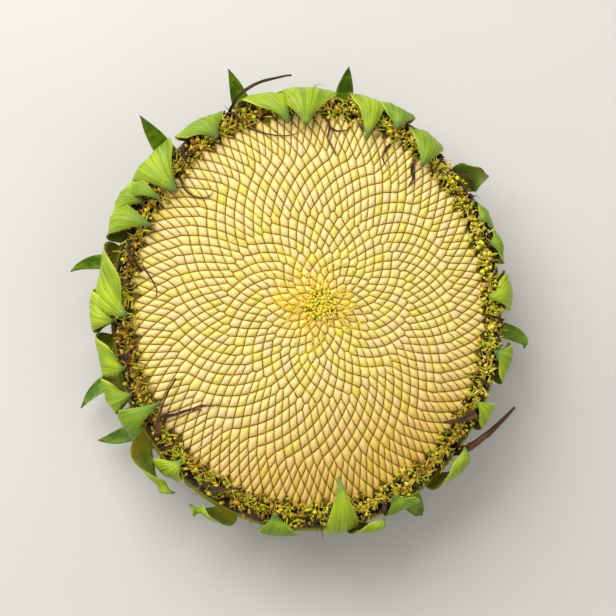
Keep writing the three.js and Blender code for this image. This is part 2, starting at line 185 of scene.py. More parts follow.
# Withered threads that lie on the seeds, each as its thickness and the places that it runs through
THREADS = [
    (0.5, [(-67, 75), (-66, 65), (-62, 57.5), (-56, 54.5), (-51, 55.5), (-49, 58.5)]),
    (0.4, [(-36, 93), (-30, 90.5), (-22, 88), (-14, 87), (-7, 88.5), (-3, 92)]),
    (0.55, [(9, 96), (9.5, 91), (8.5, 86), (11, 81), (12.5, 77)]),
    (0.45, [(10, 92), (14, 90), (19, 91), (22, 94)]),
    (0.6, [(41, 84), (38, 81), (36.5, 76), (39, 71.5)]),
    (0.9, [(53, 76), (51.5, 71), (52, 66), (49.5, 62)]),
    (0.8, [(-75, -55), (-68, -54), (-60, -51.5), (-54, -52)]),
    (0.4, [(-60, -51.5), (-54, -49.5), (-49, -50), (-44, -48)]),
    (0.4, [(-84, 20), (-80, 14), (-77, 8), (-78, 3)]),
]

# The lamps, each as its place in metres, the side of its square and its power, and the light of the sky
LAMPS = {
    "window": ((-0.62, 0.75, 0.95), 1.2, 25),
    "fill": ((1.1, -0.9, 1.2), 1.4, 4),
}
SKY = (1.0, 0.99, 0.98, 1.0)
SKY_STRENGTH = 0.6
LOOKED_AT = (-1.5, -0.5, 50)


def colour_of(red, green, blue):
    """The linear colour of a screen colour with parts up to 255."""
    return tuple((part / 255) ** 2.2 for part in (red, green, blue)) + (1.0,)


# The colours of the head and of the floor
CREAM = colour_of(238, 208, 136)
BLUSH = colour_of(234, 198, 150)
STRAW = colour_of(222, 198, 90)
FURROW = colour_of(190, 168, 62)
FURROW_SHADE = colour_of(148, 128, 38)
GOLD = colour_of(252, 206, 60)
AMBER = colour_of(198, 158, 64)
OCHRE = colour_of(200, 164, 38)
LEMON = colour_of(232, 222, 40)
LIME = colour_of(158, 178, 18)
OLIVE = colour_of(150, 152, 24)
GREEN = colour_of(110, 142, 10)
DARK_GREEN = colour_of(48, 84, 12)
GREY_GREEN = colour_of(92, 118, 58)
PALE_GREEN = colour_of(188, 194, 46)
BROWN = colour_of(96, 62, 28)
RUST = colour_of(142, 82, 30)
DARK_BROWN = colour_of(38, 25, 14)
PITH = colour_of(238, 236, 210)
STONE = colour_of(200, 197, 191)
SHADED_STONE = colour_of(192, 190, 185)


def smooth_step(value, low, high):
    """From 0 at the low value to 1 at the high one, with soft ends."""
    share = min(max((value - low) / (high - low), 0), 1)
    return share * share * (3 - 2 * share)


def place(turn, radius, height):
    """The point at a turn, a radius and a height: round near the stem, oval out at the seeds."""
    ease = smooth_step(radius, ROUND_WITHIN, OVAL_BEYOND)
    wide = radius * (1 + ease * (HALF_WIDTH / DISC - 1))
    long = radius * (1 + ease * (HALF_LENGTH / DISC - 1))
    angle = math.radians(turn)
    return Vector((wide * math.cos(angle), long * math.sin(angle), height))


def round_place(turn, radius, height):
    """The same point on a round head."""
    angle = math.radians(turn)
    return Vector((radius * math.cos(angle), radius * math.sin(angle), height))


def seed_top(share):
    """The height of the seeds' tops at a share of the disc's radius."""
    return RIM_HEIGHT + CROWN * (1 - min(share, 1) ** CROWN_POWER)


def lumps(at, *waves):
    """Chance at a point, added up from waves that each have a height and a fineness."""
    return sum(height * noise.noise(at * fineness) for height, fineness in waves)


class Dice:
    """Chance that falls the same way each time, one value after another."""

    factor = 1664525
    step = 1013904223
    sides = 2**32

    def __init__(self, seed):
        self.state = seed

    def throw(self, low, high):
        self.state = (self.state * self.factor + self.step) % self.sides
        return low + (high - low) * self.state / self.sides


def linked(name, data):
    """A new object in the scene."""
    made = bpy.data.objects.new(name, data)
    bpy.context.scene.collection.objects.link(made)
    return made


class Shape:
    """Points in millimetres, faces over them, and named values at the points."""

    def __init__(self):
        self.points = []
        self.faces = []
        self.values = {}

    def add(self, points, faces, **values):
        start = len(self.points)
        for name in values:
            self.values.setdefault(name, [0.0] * start)
        self.points += points
        self.faces += [tuple(start + i for i in face) for face in faces]
        for name, known in self.values.items():
            known += values.get(name, [0.0] * len(points))

    def piece(self, name, *materials):
        """The shape as an object of that name."""
        mesh = bpy.data.meshes.new(name)
        mesh.from_pydata([point * MM for point in self.points], [], self.faces)
        for value_name, known in self.values.items():
            attribute = mesh.attributes.new(value_name, "FLOAT", "POINT")
            attribute.data.foreach_set("value", known)
        for material in materials:
            mesh.materials.append(material)
        mesh.polygons.foreach_set("use_smooth", [True] * len(self.faces))
        mesh.update()
        return linked(name, mesh)


def ring_faces(count, width, flip=False):
    """The quads between one ring of points and the next."""
    faces = []
    for i in range(count - 1):
        for k in range(width):
            here = i * width
            right = (k + 1) % width
            face = (here + k, here + right, here + width + right, here + width + k)
            faces.append(face[::-1] if flip else face)
    return faces


def add_lathe(shape, profile, around, moved=None, closed=False):
    """Adds a profile of radius and height turned round the head. `moved` shifts a radius and a height at a
    turn. A profile that starts or ends on the axis is closed there by a fan."""
    ring = [spot for spot in profile if spot[0] > 0]
    width = len(ring)
    points = []
    faces = []
    for i in range(around):
        turn = 360 * i / around
        for step, (radius, height) in enumerate(ring):
            if moved:
                radius, height = moved(turn, radius, height, step)
            points.append(place(turn, radius, height))
        here = i * width
        after = (i + 1) % around * width
        for k in range(width if closed else width - 1):
            right = (k + 1) % width
            faces.append((here + k, after + k, after + right, here + right))
    for (radius, height), column in ((profile[0], 0), (profile[-1], width - 1)):
        if radius == 0:
            hub = len(points)
            points.append(Vector((0, 0, height)))
            for i in range(around):
                edge = (i * width + column, (i + 1) % around * width + column)
                faces.append((hub, edge[1], edge[0]) if column == 0 else (hub, *edge))
    shape.add(points, faces)


def outside_seeds(section):
    """A section given as distances outside the seeds, with its real radii."""
    return [(DISC + distance, height) for distance, height in section]


def finer(section, parts):
    """A section with each of its sides cut into parts."""
    made = []
    for (x0, y0), (x1, y1) in zip(section, section[1:]):
        for i in range(parts):
            share = i / parts
            made.append((x0 + (x1 - x0) * share, y0 + (y1 - y0) * share))
    return made + [section[-1]]


def blended(weights, knots):
    """The knots times their weights, added up part by part."""
    return [sum(weight * part for weight, part in zip(weights, parts)) for parts in zip(*knots)]


def smoothed(spots, parts):
    """Places along a smooth curve through the given ones."""
    ends = [spots[0], *spots, spots[-1]]
    made = []
    for knots in zip(ends, ends[1:], ends[2:], ends[3:]):
        for i in range(parts):
            t = i / parts
            weights = (
                -0.5 * t + t**2 - 0.5 * t**3,
                1 - 2.5 * t**2 + 1.5 * t**3,
                0.5 * t + 2 * t**2 - 1.5 * t**3,
                -0.5 * t**2 + 0.5 * t**3,
            )
            made.append(blended(weights, knots))
    return made + [spots[-1]]


def spine_of(knots, lowest=lambda radius: 0):
    """A cubic curve in turn, radius and height that goes no lower than `lowest` at its radius."""

    def at(share):
        rest = 1 - share
        weights = (rest**3, 3 * rest**2 * share, 3 * rest * share**2, share**3)
        turn, radius, height = blended(weights, knots)
        return place(turn, radius, max(height, lowest(radius)))

    return at


def resting_on(thickness):
    """The lowest that a thing of this thickness lies on the seeds and on the floret remains."""

    def lowest(radius):
        if radius > DISC + RAY_BAND[1][0]:
            return 0
        near = smooth_step(radius, DISC - 9, DISC - 1)
        under = (1 - near) * (seed_top(radius / DISC) + GAP) + near * FLORET_TOP
        return under + thickness

    return lowest


def inner_spine(root, tip, out, belly, height):
    """From the rim out to the belly, then up to a tip that lies over the rim or the seeds."""
    knots = [
        (root, DISC + INNER_ROOT[0], INNER_ROOT[1]),
        (root, DISC + 1.15 * belly + 1, INNER_ROOT[1] + 3),
        (0.4 * root + 0.6 * tip, DISC + 1.25 * belly, height + 6),
        (tip, DISC + out, height),
    ]
    return spine_of(knots, resting_on(BRACT_THICKNESS))


def outer_spine(root, tip, out, belly, height):
    """From low on the back out to a tip that stands away from the head."""
    knots = [
        (root, DISC + OUTER_ROOT[0], OUTER_ROOT[1]),
        (root, DISC + 0.5 * belly, OUTER_ROOT[1]),
        (0.5 * (root + tip), DISC + 1.1 * belly, 0.5 * height + 13),
        (tip, DISC + out, height),
    ]
    return spine_of(knots)


def ray_spine(root, tip, out, belly, height, width, lift):
    """From its band up, and in over the seeds or out over the bracts."""
    knots = [
        (root, DISC + RAY_ROOT[0], RAY_ROOT[1]),
        (root, DISC + RAY_ROOT[0] + 0.4 * belly, height + 2 + lift),
        (0.5 * (root + tip), DISC + belly, height + 3 + 1.4 * lift),
        (tip, DISC + out, height + lift),
    ]
    return spine_of(knots, resting_on(0.5 * width))


def bract_width(share):
    """Broad at the root, and drawn out to a fine tip."""
    return max(0.07, math.sin(math.pi * (0.18 + 0.8 * share)) ** (0.75 + 0.35 * share))


def ray_width(share):
    """Widest at the root, and just over a quarter of that at the tip."""
    return 1 - 0.72 * share**1.5


def bract_section(place_across, share, half):
    """The two faces of a bract: thickest along its middle line, with a thin margin."""
    thin = MARGIN_THICKNESS / 2
    inwards = 1 - abs(place_across)
    swell = thin + (BRACT_THICKNESS / 2 - thin) * inwards**0.9
    rib = 0.22 * math.exp(-((place_across * half / 0.9) ** 2))
    veins = 0.1 * math.cos(place_across * 16) * inwards * min(1, half / 6)
    return swell - rib + veins, -swell + veins


def ray_section(place_across, share, half):
    """The two faces of a withered ray: a thin gutter."""
    fold = RAY_THICKNESS * (1 - abs(place_across))
    return RAY_THICKNESS * 0.5 - 0.6 * fold, RAY_THICKNESS * 0.22 - 0.72 * fold


def blade_frames(spine, width, width_at, steps, wave=0, twist=0):
    """For each step along a blade: its share, the point, the directions to its side and outwards, and half
    its width."""
    nudge = 0.01
    for i in range(steps + 1):
        share = i / steps
        here = spine(share)
        along = (spine(share + nudge) - spine(share - nudge)).normalized()
        turning = Vector((-here.y, here.x, 0)).normalized()
        side = (turning - along * turning.dot(along)).normalized()
        side.rotate(Quaternion(along, twist * share + wave * math.sin(WAVE_PACE * share)))
        yield share, here, side, side.cross(along).normalized(), width / 2 * width_at(share)


def add_blade(shape, frames, across, cup, section, crinkle, lot):
    """Adds a blade with two faces. `section` gives the heights of both faces at a place across the blade
    and along it, and `crinkle` how far chance moves a point off them."""
    rings = []
    shares = []
    spread = [2 * k / across - 1 for k in range(across + 1)]
    around = 2 * len(spread)
    for share, here, side, outward, half in frames:
        tops = []
        bottoms = []
        for place_across in spread:
            at = here + side * (place_across * half)
            bend = -cup * share * half * place_across**2
            bend += crinkle(place_across, share, half)
            top, bottom = section(place_across, share, half)
            tops.append(at + outward * (bend + top))
            bottoms.append(at + outward * (bend + bottom))
        rings.append(tops + bottoms[::-1])
        shares += [share] * around
    last = (len(rings) - 1) * around
    ends = []
    for k in range(across):
        under_left = around - 1 - k
        ends.append((k, under_left, under_left - 1, k + 1))
        ends.append((last + k + 1, last + under_left - 1, last + under_left, last + k))
    shape.add(
        [point for ring in rings for point in ring],
        ring_faces(len(rings), around) + ends,
        across=(spread + spread[::-1]) * len(rings),
        along=shares,
        outer=([1.0] * len(spread) + [0.0] * len(spread)) * len(rings),
        lot=[lot] * len(shares),
    )


def add_tube(shape, path, thickness, sides, lot):
    """Adds a tube along a path, thin at its end."""
    points = []
    shares = []
    last = len(path) - 1
    for i, here in enumerate(path):
        along = (path[min(i + 1, last)] - path[max(i - 1, 0)]).normalized()
        side = along.cross(Vector((0, 0, 1))).normalized()
        up = side.cross(along)
        radius = thickness * (1 - 0.8 * (i / last) ** 2)
        for k in range(sides):
            turn = 2 * math.pi * k / sides
            points.append(here + (side * math.cos(turn) + up * math.sin(turn)) * radius)
        shares += [i / last] * sides
    faces = ring_faces(len(path), sides, flip=True)
    faces.append(tuple(range(sides)))
    faces.append(tuple(range(len(points) - 1, last * sides - 1, -1)))
    shape.add(points, faces, along=shares, lot=[lot] * len(points))


class Nodes:
    """Adds nodes to a node tree, and links or sets their inputs."""

    def __init__(self, tree):
        self.tree = tree

    def feed(self, socket, value):
        value = getattr(value, "socket", value)
        if isinstance(value, bpy.types.NodeSocket):
            self.tree.links.new(value, socket)
        elif value is not None:
            socket.default_value = value

    def add(self, kind, *ordered, settings=(), **named):
        """A new node. Its inputs are fed in order or by name, with _ for a space."""
        node = self.tree.nodes.new(kind)
        for name, value in dict(settings).items():
            setattr(node, name, value)
        for socket, value in zip(node.inputs, ordered):
            self.feed(socket, value)
        for name, value in named.items():
            self.feed(node.inputs[name.replace("_", " ")], value)
        return node

    def output(self, node, name=0):
        return Value(self, node.outputs[name])

    def made(self, kind, *ordered, settings=(), **named):
        """The first output of a new node."""
        return self.output(self.add(kind, *ordered, settings=settings, **named))

    def maths(self, operation, *values):
        return self.made("ShaderNodeMath", *values, settings={"operation": operation})

    def reach(self, x, y):
        """How far a point lies from the middle."""
        return self.maths("SQRT", x * x + y * y)

    def eased(self, value, low, high, to_low=0.0, to_high=1.0):
        """The value from one span carried into another, with soft ends."""
        settings = {"interpolation_type": "SMOOTHSTEP"}
        return self.made("ShaderNodeMapRange", value, low, high, to_low, to_high, settings=settings)

    def vector(self, x, y, z):
        return self.made("ShaderNodeCombineXYZ", x, y, z)

    def parts(self, vector):
        node = self.add("ShaderNodeSeparateXYZ", vector)
        return [self.output(node, i) for i in range(3)]


def arithmetic(operation, swapped=False):
    """A method that adds a maths node for a value and another number."""

    def method(self, other):
        return self.nodes.maths(operation, *((other, self) if swapped else (self, other)))

    return method


class Value:
    """A number that a node tree works out. Arithmetic with it adds maths nodes."""

    def __init__(self, nodes, socket):
        self.nodes = nodes
        self.socket = socket

    __add__ = __radd__ = arithmetic("ADD")
    __sub__ = arithmetic("SUBTRACT")
    __rsub__ = arithmetic("SUBTRACT", swapped=True)
    __mul__ = __rmul__ = arithmetic("MULTIPLY")
    __truediv__ = arithmetic("DIVIDE")
    __rtruediv__ = arithmetic("DIVIDE", swapped=True)
    __pow__ = arithmetic("POWER")


class Growth(Nodes):
    """A geometry node tree with named sizes, which grows a piece."""

    def __init__(self, name):
        super().__init__(bpy.data.node_groups.new(name, "GeometryNodeTree"))
        self.tree.interface.new_socket("Geometry", in_out="OUTPUT", socket_type="NodeSocketGeometry")
        self.entry = self.tree.nodes.new("NodeGroupInput")
        self.sizes = {}

    def size(self, name, value):
        kind = "NodeSocketInt" if isinstance(value, int) else "NodeSocketFloat"
        socket = self.tree.interface.new_socket(name, in_out="INPUT", socket_type=kind)
        self.sizes[socket.identifier] = value
        return Value(self, self.entry.outputs[name])

    def chance(self, low, high, seed):
        """A random number for each thing."""
        node = self.add("FunctionNodeRandomValue", Seed=seed, settings={"data_type": "FLOAT"})
        self.feed(node.inputs[2], low)
        self.feed(node.inputs[3], high)
        return self.output(node, 1)

    def chances(self, first_seed, *spans):
        """A vector with a random part from each span."""
        return self.vector(*(self.chance(*span, first_seed + i) for i, span in enumerate(spans)))

    def round_turn(self, seed):
        """A random turn, in radians."""
        return self.chance(0.0, 2 * math.pi, seed)

    def index(self):
        return self.made("GeometryNodeInputIndex")

    def position(self):
        return self.parts(self.made("GeometryNodeInputPosition"))

    def stored(self, geometry, name, value, domain, kind="FLOAT"):
        settings = {"data_type": kind, "domain": domain}
        return self.made("GeometryNodeStoreNamedAttribute", geometry, True, name, value, settings=settings)

    def named(self, name, kind="FLOAT"):
        return self.made("GeometryNodeInputNamedAttribute", name, settings={"data_type": kind})

    def moved(self, geometry, position):
        return self.made("GeometryNodeSetPosition", geometry, True, position)

    def without(self, geometry, selection):
        """The geometry without the selected faces."""
        return self.made("GeometryNodeDeleteGeometry", geometry, selection, settings={"domain": "FACE"})

    def joined(self, *geometries):
        node = self.add("GeometryNodeJoinGeometry")
        for geometry in geometries:
            self.feed(node.inputs[0], geometry)
        return self.output(node)

    def oval(self, cosine, sine, radius):
        """The x and y of a radius along a direction, eased from round to oval like `place`."""
        ease = self.eased(radius, ROUND_WITHIN, OVAL_BEYOND)
        wide = radius * (1 + ease * (HALF_WIDTH / DISC - 1))
        long = radius * (1 + ease * (HALF_LENGTH / DISC - 1))
        return cosine * wide, sine * long

    def at_turn(self, turn, radius):
        """The x and y of an oval radius at a turn."""
        return self.oval(self.maths("COSINE", turn), self.maths("SINE", turn), radius)

    def off_centre(self, turn, radius, height):
        """The point at a turn and a radius round the middle of the spiral."""
        x = self.maths("COSINE", turn) * radius + OFF_CENTRE[0]
        y = self.maths("SINE", turn) * radius + OFF_CENTRE[1]
        return self.vector(x, y, height)

    def seed_top(self, share):
        held = self.maths("MINIMUM", share, 1.0)
        return RIM_HEIGHT + CROWN * (1 - held**CROWN_POWER)

    def cone(self, sides, steps, top, foot, height):
        """A cone or a cup by its radii."""
        return self.made("GeometryNodeMeshCone", sides, steps, 1, top, foot, height)

    def thread(self, start, middle, end, sides, radius):
        """A thin bent rod with closed ends."""
        line = self.made("GeometryNodeCurveQuadraticBezier", 5, start, middle, end)
        ring = self.made("GeometryNodeCurvePrimitiveCircle", Resolution=sides, Radius=radius)
        return self.made("GeometryNodeCurveToMesh", line, ring, Fill_Caps=True)

    def strewn(self, count, at, thing, turn, size, one_of=False):
        """A number of things, each at its place, or with `one_of` a choice from a set at each."""
        points = self.made("GeometryNodePoints", count, at)
        return self.on_points(points, thing, turn, size, one_of)

    def on_points(self, points, thing, turn, size, one_of=False):
        """The same on points that are already there."""
        kind = "GeometryNodeInstanceOnPoints"
        return self.made(kind, points, True, thing, one_of, Rotation=turn, Scale=size)

    def grown(self, name, geometry, material):
        """The finished geometry as a plain object in metres."""
        realized = self.made("GeometryNodeRealizeInstances", geometry)
        smooth = self.made("GeometryNodeSetShadeSmooth", realized)
        small = self.made("GeometryNodeTransform", smooth, Scale=(MM, MM, MM))
        clothed = self.made("GeometryNodeSetMaterial", small, Material=material)
        exit_node = self.tree.nodes.new("NodeGroupOutput")
        self.feed(exit_node.inputs[0], clothed)
        seedling = linked(name + "_seedling", bpy.data.meshes.new(name))
        modifier = seedling.modifiers.new(name, "NODES")
        modifier.node_group = self.tree
        for identifier, value in self.sizes.items():
            modifier[identifier] = value
        evaluated = seedling.evaluated_get(bpy.context.evaluated_depsgraph_get())
        mesh = bpy.data.meshes.new_from_object(evaluated)
        bpy.data.objects.remove(seedling)
        if not mesh.polygons:
            raise RuntimeError(f"{name}: its node tree made no faces")
        mesh.name = name
        return linked(name, mesh)


class Finish(Nodes):
    """A material of nodes round one glossy and rough surface shader."""

    def __init__(self, name, roughness=0.6, sheen=0.0, specular=0.5):
        self.material = bpy.data.materials.new(name)
        self.material.use_nodes = True
        super().__init__(self.material.node_tree)
        self.shader = self.tree.nodes["Principled BSDF"]
        self.shader.inputs["Roughness"].default_value = roughness
        self.shader.inputs["Sheen Weight"].default_value = sheen
        self.shader.inputs["Specular IOR Level"].default_value = specular

    def values(self, *names):
        """Values that the mesh holds, by their names."""
        kind = "ShaderNodeAttribute"
        return [self.output(self.add(kind, settings={"attribute_name": name}), "Fac") for name in names]

    def place(self, stretch=(1, 1, 1)):
        """Object coordinates in millimetres, times a stretch."""
        coordinates = self.add("ShaderNodeTexCoord")
        scale = tuple(part / MM for part in stretch)
        return self.made("ShaderNodeMapping", self.output(coordinates, "Object"), Scale=scale)

    def noise(self, scale, detail=3.0, at=None, distortion=0.0):
        """Cloudy chance from 0 to 1, with a scale in waves per millimetre."""
        vector = at if at is not None else self.place()
        named = {"Scale": scale, "Detail": detail, "Distortion": distortion}
        return self.made("ShaderNodeTexNoise", Vector=vector, **named)

    def wander(self, span, scale, detail=3.0):
        """Cloudy chance either side of zero."""
        return (self.noise(scale, detail) - 0.5) * span

    def specks(self, scale):
        """The distance to the nearest of scattered points."""
        return self.made("ShaderNodeTexVoronoi", Vector=self.place(), Scale=scale)

    def ramp(self, value, *stops):
        node = self.add("ShaderNodeValToRGB", value)
        elements = node.color_ramp.elements
        for element, (position, colour) in zip(elements, stops):
            element.position = position
            element.color = colour
        for position, colour in stops[2:]:
            elements.new(position).color = colour
        return self.output(node)

    def mixed(self, share, low, high):
        node = self.add("ShaderNodeMix", settings={"data_type": "RGBA"})
        self.feed(node.inputs[0], share)
        self.feed(node.inputs[6], low)
        self.feed(node.inputs[7], high)
        return self.output(node, 2)

    def finish(self, colour, bump=None, strength=0.4, distance=0.3):
        """The material with that colour, and bumps by their strength and their depth in millimetres."""
        self.feed(self.shader.inputs["Base Color"], colour)
        if bump is not None:
            named = {"Strength": strength, "Distance": distance * MM, "Height": bump}
            self.feed(self.shader.inputs["Normal"], self.made("ShaderNodeBump", **named))
        return self.material


def seed_finish(colours):
    """Cream seeds, a little pink or straw by chance, with painted shade: olive sides that darken down into
    the furrows, and a darker side towards -Y.
    """
    finish = Finish("seed_coat", roughness=0.42, specular=0.45)
    tint, rise = finish.values("tint", "rise")
    x, y, _ = finish.parts(finish.place())
    from_middle = finish.reach(x, y)
    stops = ((0.0, colours.blush), (0.3, colours.seed), (0.7, colours.seed), (1.0, colours.straw))
    base = finish.ramp(tint, *stops)
    base = finish.mixed(finish.eased(finish.noise(0.9, 4.0), 0.42, 0.75) * 0.35, base, colours.straw)
    base = finish.mixed(finish.eased(finish.noise(0.03, 2.0), 0.4, 0.7) * 0.3, base, colours.blush)
    # Painted shade: a seed's sides are olive, darkest low down in the furrows between seeds
    side = finish.mixed(finish.eased(rise, 0.2, 0.6), FURROW_SHADE, FURROW)

    # Yellow dust in clouds, thinner towards the rim
    clouds = finish.eased(finish.noise(0.16, 4.0), 0.5, 0.64)
    dust = clouds * finish.eased(from_middle, 15.0, 95.0, 1.0, 0.25)
    side = finish.mixed(dust * 0.75, side, LEMON)
    base = finish.mixed(dust * 0.3, base, LEMON)

    # Speckles, golden seeds round the tuft, and painted shade that darkens the seeds towards -Y and a little
    # towards +X
    base = finish.mixed(finish.eased(finish.noise(1.1), 0.5, 0.72) * 0.3, base, FURROW)
    fine = finish.noise(2.6, 5.0, distortion=0.6)
    base = finish.mixed(finish.eased(fine, 0.46, 0.64) * 0.28, base, FURROW)
    golden = finish.eased(from_middle + finish.wander(20.0, 0.1), 4.0, 26.0, 1.0, 0.0)
    base = finish.mixed(golden * 0.5, base, colours.floret)
    side = finish.mixed(golden * 0.6, side, colours.floret)
    # Painted shade: the side away from the window lamp is mixed towards the darker amber
    shaded_side = finish.eased(x * 0.35 - y, 25.0, 105.0)
    base = finish.mixed(shaded_side * 0.8, base, colours.shaded_side)
    # Painted shade: below its top, each seed takes the olive side colour
    jagged = rise + finish.wander(0.2, 1.4)
    colour = finish.mixed(finish.eased(jagged, 0.34, 0.86), side, base)
    return finish.finish(colour, finish.noise(3.0, 5.0) + fine, 0.45, 0.3)


def bed_finish():
    """The dark chaff between the seeds."""
    finish = Finish("chaff", roughness=0.9)
    colour = finish.mixed(finish.noise(0.6, 4.0), BROWN, FURROW)
    return finish.finish(colour, finish.noise(1.5, 4.0), 0.8, 0.8)


def floret_finish(colours):
    """Golden buds, threads and flecks, lemon, straw or lime by chance."""
    finish = Finish("golden_floret", roughness=0.55)
    [tint] = finish.values("tint")
    base = finish.ramp(tint, (0.0, colours.floret), (0.6, LEMON), (0.8, STRAW), (1.0, LIME))
    colour = finish.mixed(finish.noise(0.8) * 0.2, base, AMBER)
    return finish.finish(colour, finish.noise(2.5), 0.3, 0.3)


def crumb_finish():
    """Crumbs of old florets: brown, rust, ochre, olive, lime, lemon and straw by chance."""
    finish = Finish("floret_crumb", roughness=0.75)
    [tint] = finish.values("tint")
    dark = ((0.0, BROWN), (0.16, RUST), (0.32, OCHRE))
    bright = ((0.54, OLIVE), (0.7, LIME), (0.84, LEMON), (1.0, STRAW))
    colour = finish.mixed(finish.noise(0.7, 4.0) * 0.3, finish.ramp(tint, *dark, *bright), OCHRE)
    return finish.finish(colour, finish.noise(2.0, 4.0), 0.5, 0.4)


def mound_finish():
    """The crumbled band that the florets stand in."""
    finish = Finish("floret_mound", roughness=0.9)
    distance = finish.specks(0.55)
    cloud = finish.noise(0.12, 5.0)
    patch = finish.ramp(cloud, (0.3, BROWN), (0.4, RUST), (0.5, OCHRE), (0.62, OLIVE))
    colour = finish.mixed(finish.eased(distance, 0.5, 1.1), patch, BROWN)
    return finish.finish(colour, distance, 0.9, 1.5)


def ray_finish(colours):
    """Dried ray florets: dark brown to rust, with fine lengthwise wrinkles."""
    finish = Finish("withered_ray", roughness=0.8)
    across, along, lot = finish.values("across", "along", "lot")
    lines = finish.noise(1.0, at=finish.vector(across * 7.0, along * 3.0, lot * 9.0))
    base = finish.ramp(finish.noise(0.12), (0.3, DARK_BROWN), (0.5, colours.ray), (0.68, RUST))
    colour = finish.mixed(finish.eased(lines, 0.4, 0.65), DARK_BROWN, base)
    return finish.finish(colour, lines, 0.8, 0.6)


def bract_finish(name, pale, main, aged, hollow_shade):
    """Green bracts with fan veins, a pale margin, an aged tip, painted shade on the cupped inside face, and
    a few blemishes.
    """
    finish = Finish(name, roughness=0.5, sheen=0.05, specular=0.35)
    across, along, lot, outer = finish.values("across", "along", "lot", "outer")
    bent = across + finish.wander(0.16, 0.11, 2.0)
    veins = finish.maths("SINE", bent * 34.0 + lot * 6.0) * 0.5 + 0.5
    streaks = finish.noise(1.0, at=finish.vector(bent * 9.0, along * 1.6, lot * 9.0))
    base = finish.mixed(finish.eased(finish.noise(0.05) + (lot - 0.5) * 0.3, 0.3, 0.7), main, pale)
    base = finish.mixed(finish.eased(streaks, 0.35, 0.7) * 0.55, base, DARK_GREEN)
    base = finish.mixed(veins * 0.1, base, PALE_GREEN)
    edge = finish.maths("ABSOLUTE", across)
    base = finish.mixed(finish.eased(edge, MARGIN, 1.0) * 0.6, base, PALE_GREEN)
    # Painted shade: the cupped inside face of each bract is mixed towards dark green and the shade colour
    # given for it
    inside = finish.mixed(finish.eased(finish.noise(0.15), 0.4, 0.6), DARK_GREEN, hollow_shade)
    base = finish.mixed((1 - outer) * 0.7, base, inside)
    base = finish.mixed(finish.eased(along, 0.0, 0.35, 0.3, 0.0), base, LEMON)
    worn = finish.eased(along + finish.wander(0.3, 0.2), 0.86, 1.0)
    base = finish.mixed(worn * 0.85, base, aged)
    blemish = 1 - finish.eased(finish.specks(0.16), 0.04, 0.12)
    colour = finish.mixed(blemish * 0.8, base, BROWN)
    return finish.finish(colour, veins * 0.5 + finish.noise(1.6, 4.0) * 0.6, 0.45, 0.35)


def receptacle_finish(colours):
    """The fuzzy grey-green back, ribbed towards the stem."""
    finish = Finish("receptacle_skin", roughness=0.7, sheen=0.4)
    ribs = finish.noise(0.08, 4.0, finish.place((1, 1, 2.5)))
    base = finish.mixed(finish.eased(ribs, 0.35, 0.7), colours.skin, PALE_GREEN)
    fuzz = finish.noise(1.8, 5.0)
    base = finish.mixed(finish.eased(fuzz, 0.55, 0.75) * 0.4, base, PITH)
    scar = 1 - finish.eased(finish.specks(0.07), 0.04, 0.1)
    colour = finish.mixed(scar * 0.6, base, BROWN)
    return finish.finish(colour, ribs + fuzz * 0.4, 0.5, 0.6)


def hair_finish():
    """Short stiff hairs, pale and a little green."""
    finish = Finish("plant_hair", roughness=0.6)
    return finish.finish(finish.mixed(finish.noise(0.2, 2.0), PITH, PALE_GREEN))


def pith_finish():
    """The cut face of the stem: white pith in a green ring."""
    finish = Finish("stem_pith", roughness=0.85)
    x, y, _ = finish.parts(finish.place())
    ring = finish.eased(finish.reach(x, y) + finish.wander(1.6, 0.4, 2.0), 9.5, 12.5)
    pores = finish.specks(0.9)
    white = finish.mixed(finish.eased(pores, 0.2, 0.7), PALE_GREEN, PITH)
    return finish.finish(finish.mixed(ring, white, GREY_GREEN), pores, 0.5, 0.5)


def stone_finish(colours):
    """A pale, plain floor with a trace of mottling."""
    finish = Finish("pale_floor", roughness=0.7, specular=0.2)
    cloud = finish.noise(0.004, 4.0)
    return finish.finish(finish.ramp(cloud, (0.3, colours.floor), (0.8, SHADED_STONE)))


def colour_setting(name, description, default):
    return FloatVectorProperty(
        name=name, description=description, default=default, size=4, min=0, max=1, subtype="COLOR"
    )


def count_setting(name, description, default):
    return IntProperty(name=name, description=description, default=default)


def number_setting(name, description, default, **kind):
    return FloatProperty(name=name, description=description, default=default, **kind)


def length_setting(name, description, default):
    return number_setting(name, description, default, unit="LENGTH")


def angle_setting(name, description, default):
    return number_setting(name, description, default, subtype="ANGLE")


class HeadColours(bpy.types.PropertyGroup):
    """The main colours of the head and of the floor."""

    seed: colour_setting("Seed", "Most of the seeds", CREAM)
    blush: colour_setting("Blush", "The pinkest seeds", BLUSH)
    straw: colour_setting("Straw", "The yellowest seeds", STRAW)
    # Painted shade: the colour the seeds take on the side away from the window lamp
    shaded_side: colour_setting("Shaded side", "Seeds on the shadiest side", AMBER)
    floret: colour_setting("Floret", "Golden florets in the middle", GOLD)
    bract: colour_setting("Bract", "The green of the bracts", GREEN)
    young_bract: colour_setting("Young bract", "The palest inner bracts", LIME)
    ray: colour_setting("Ray", "The withered rays", BROWN)
    skin: colour_setting("Skin", "The fuzzy back of the head", GREY_GREEN)
    floor: colour_setting("Floor", "The floor under the head", STONE)


class SeedSizes(bpy.types.PropertyGroup):
    """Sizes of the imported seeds."""

    count: count_setting("Count", "Seeds in the spiral", 1340)
    squeeze: number_setting("Squeeze", "Power that makes seeds longer along the radius", 0.7)
    rim_squeeze: number_setting("Rim squeeze", "How much less that power is at the rim", 0.12)
    gathering: number_setting("Gathering", "Power that makes seeds smaller towards the middle", 1.1)
    sway: number_setting("Sway", "How far chance moves a seed, as a share of the disc", 0.0016)
    shortest: number_setting("Shortest edge", "Corners closer than this share of the disc become one", 0.021)
    depth: length_setting("Depth", "From the chaff to a seed's top", 3.0 * MM)
    closeness: number_setting("Closeness", "How much of its cell a seed fills", 0.982, subtype="FACTOR")
    jog: length_setting("Jog", "How far chance moves a seed up or down", 0.25 * MM)


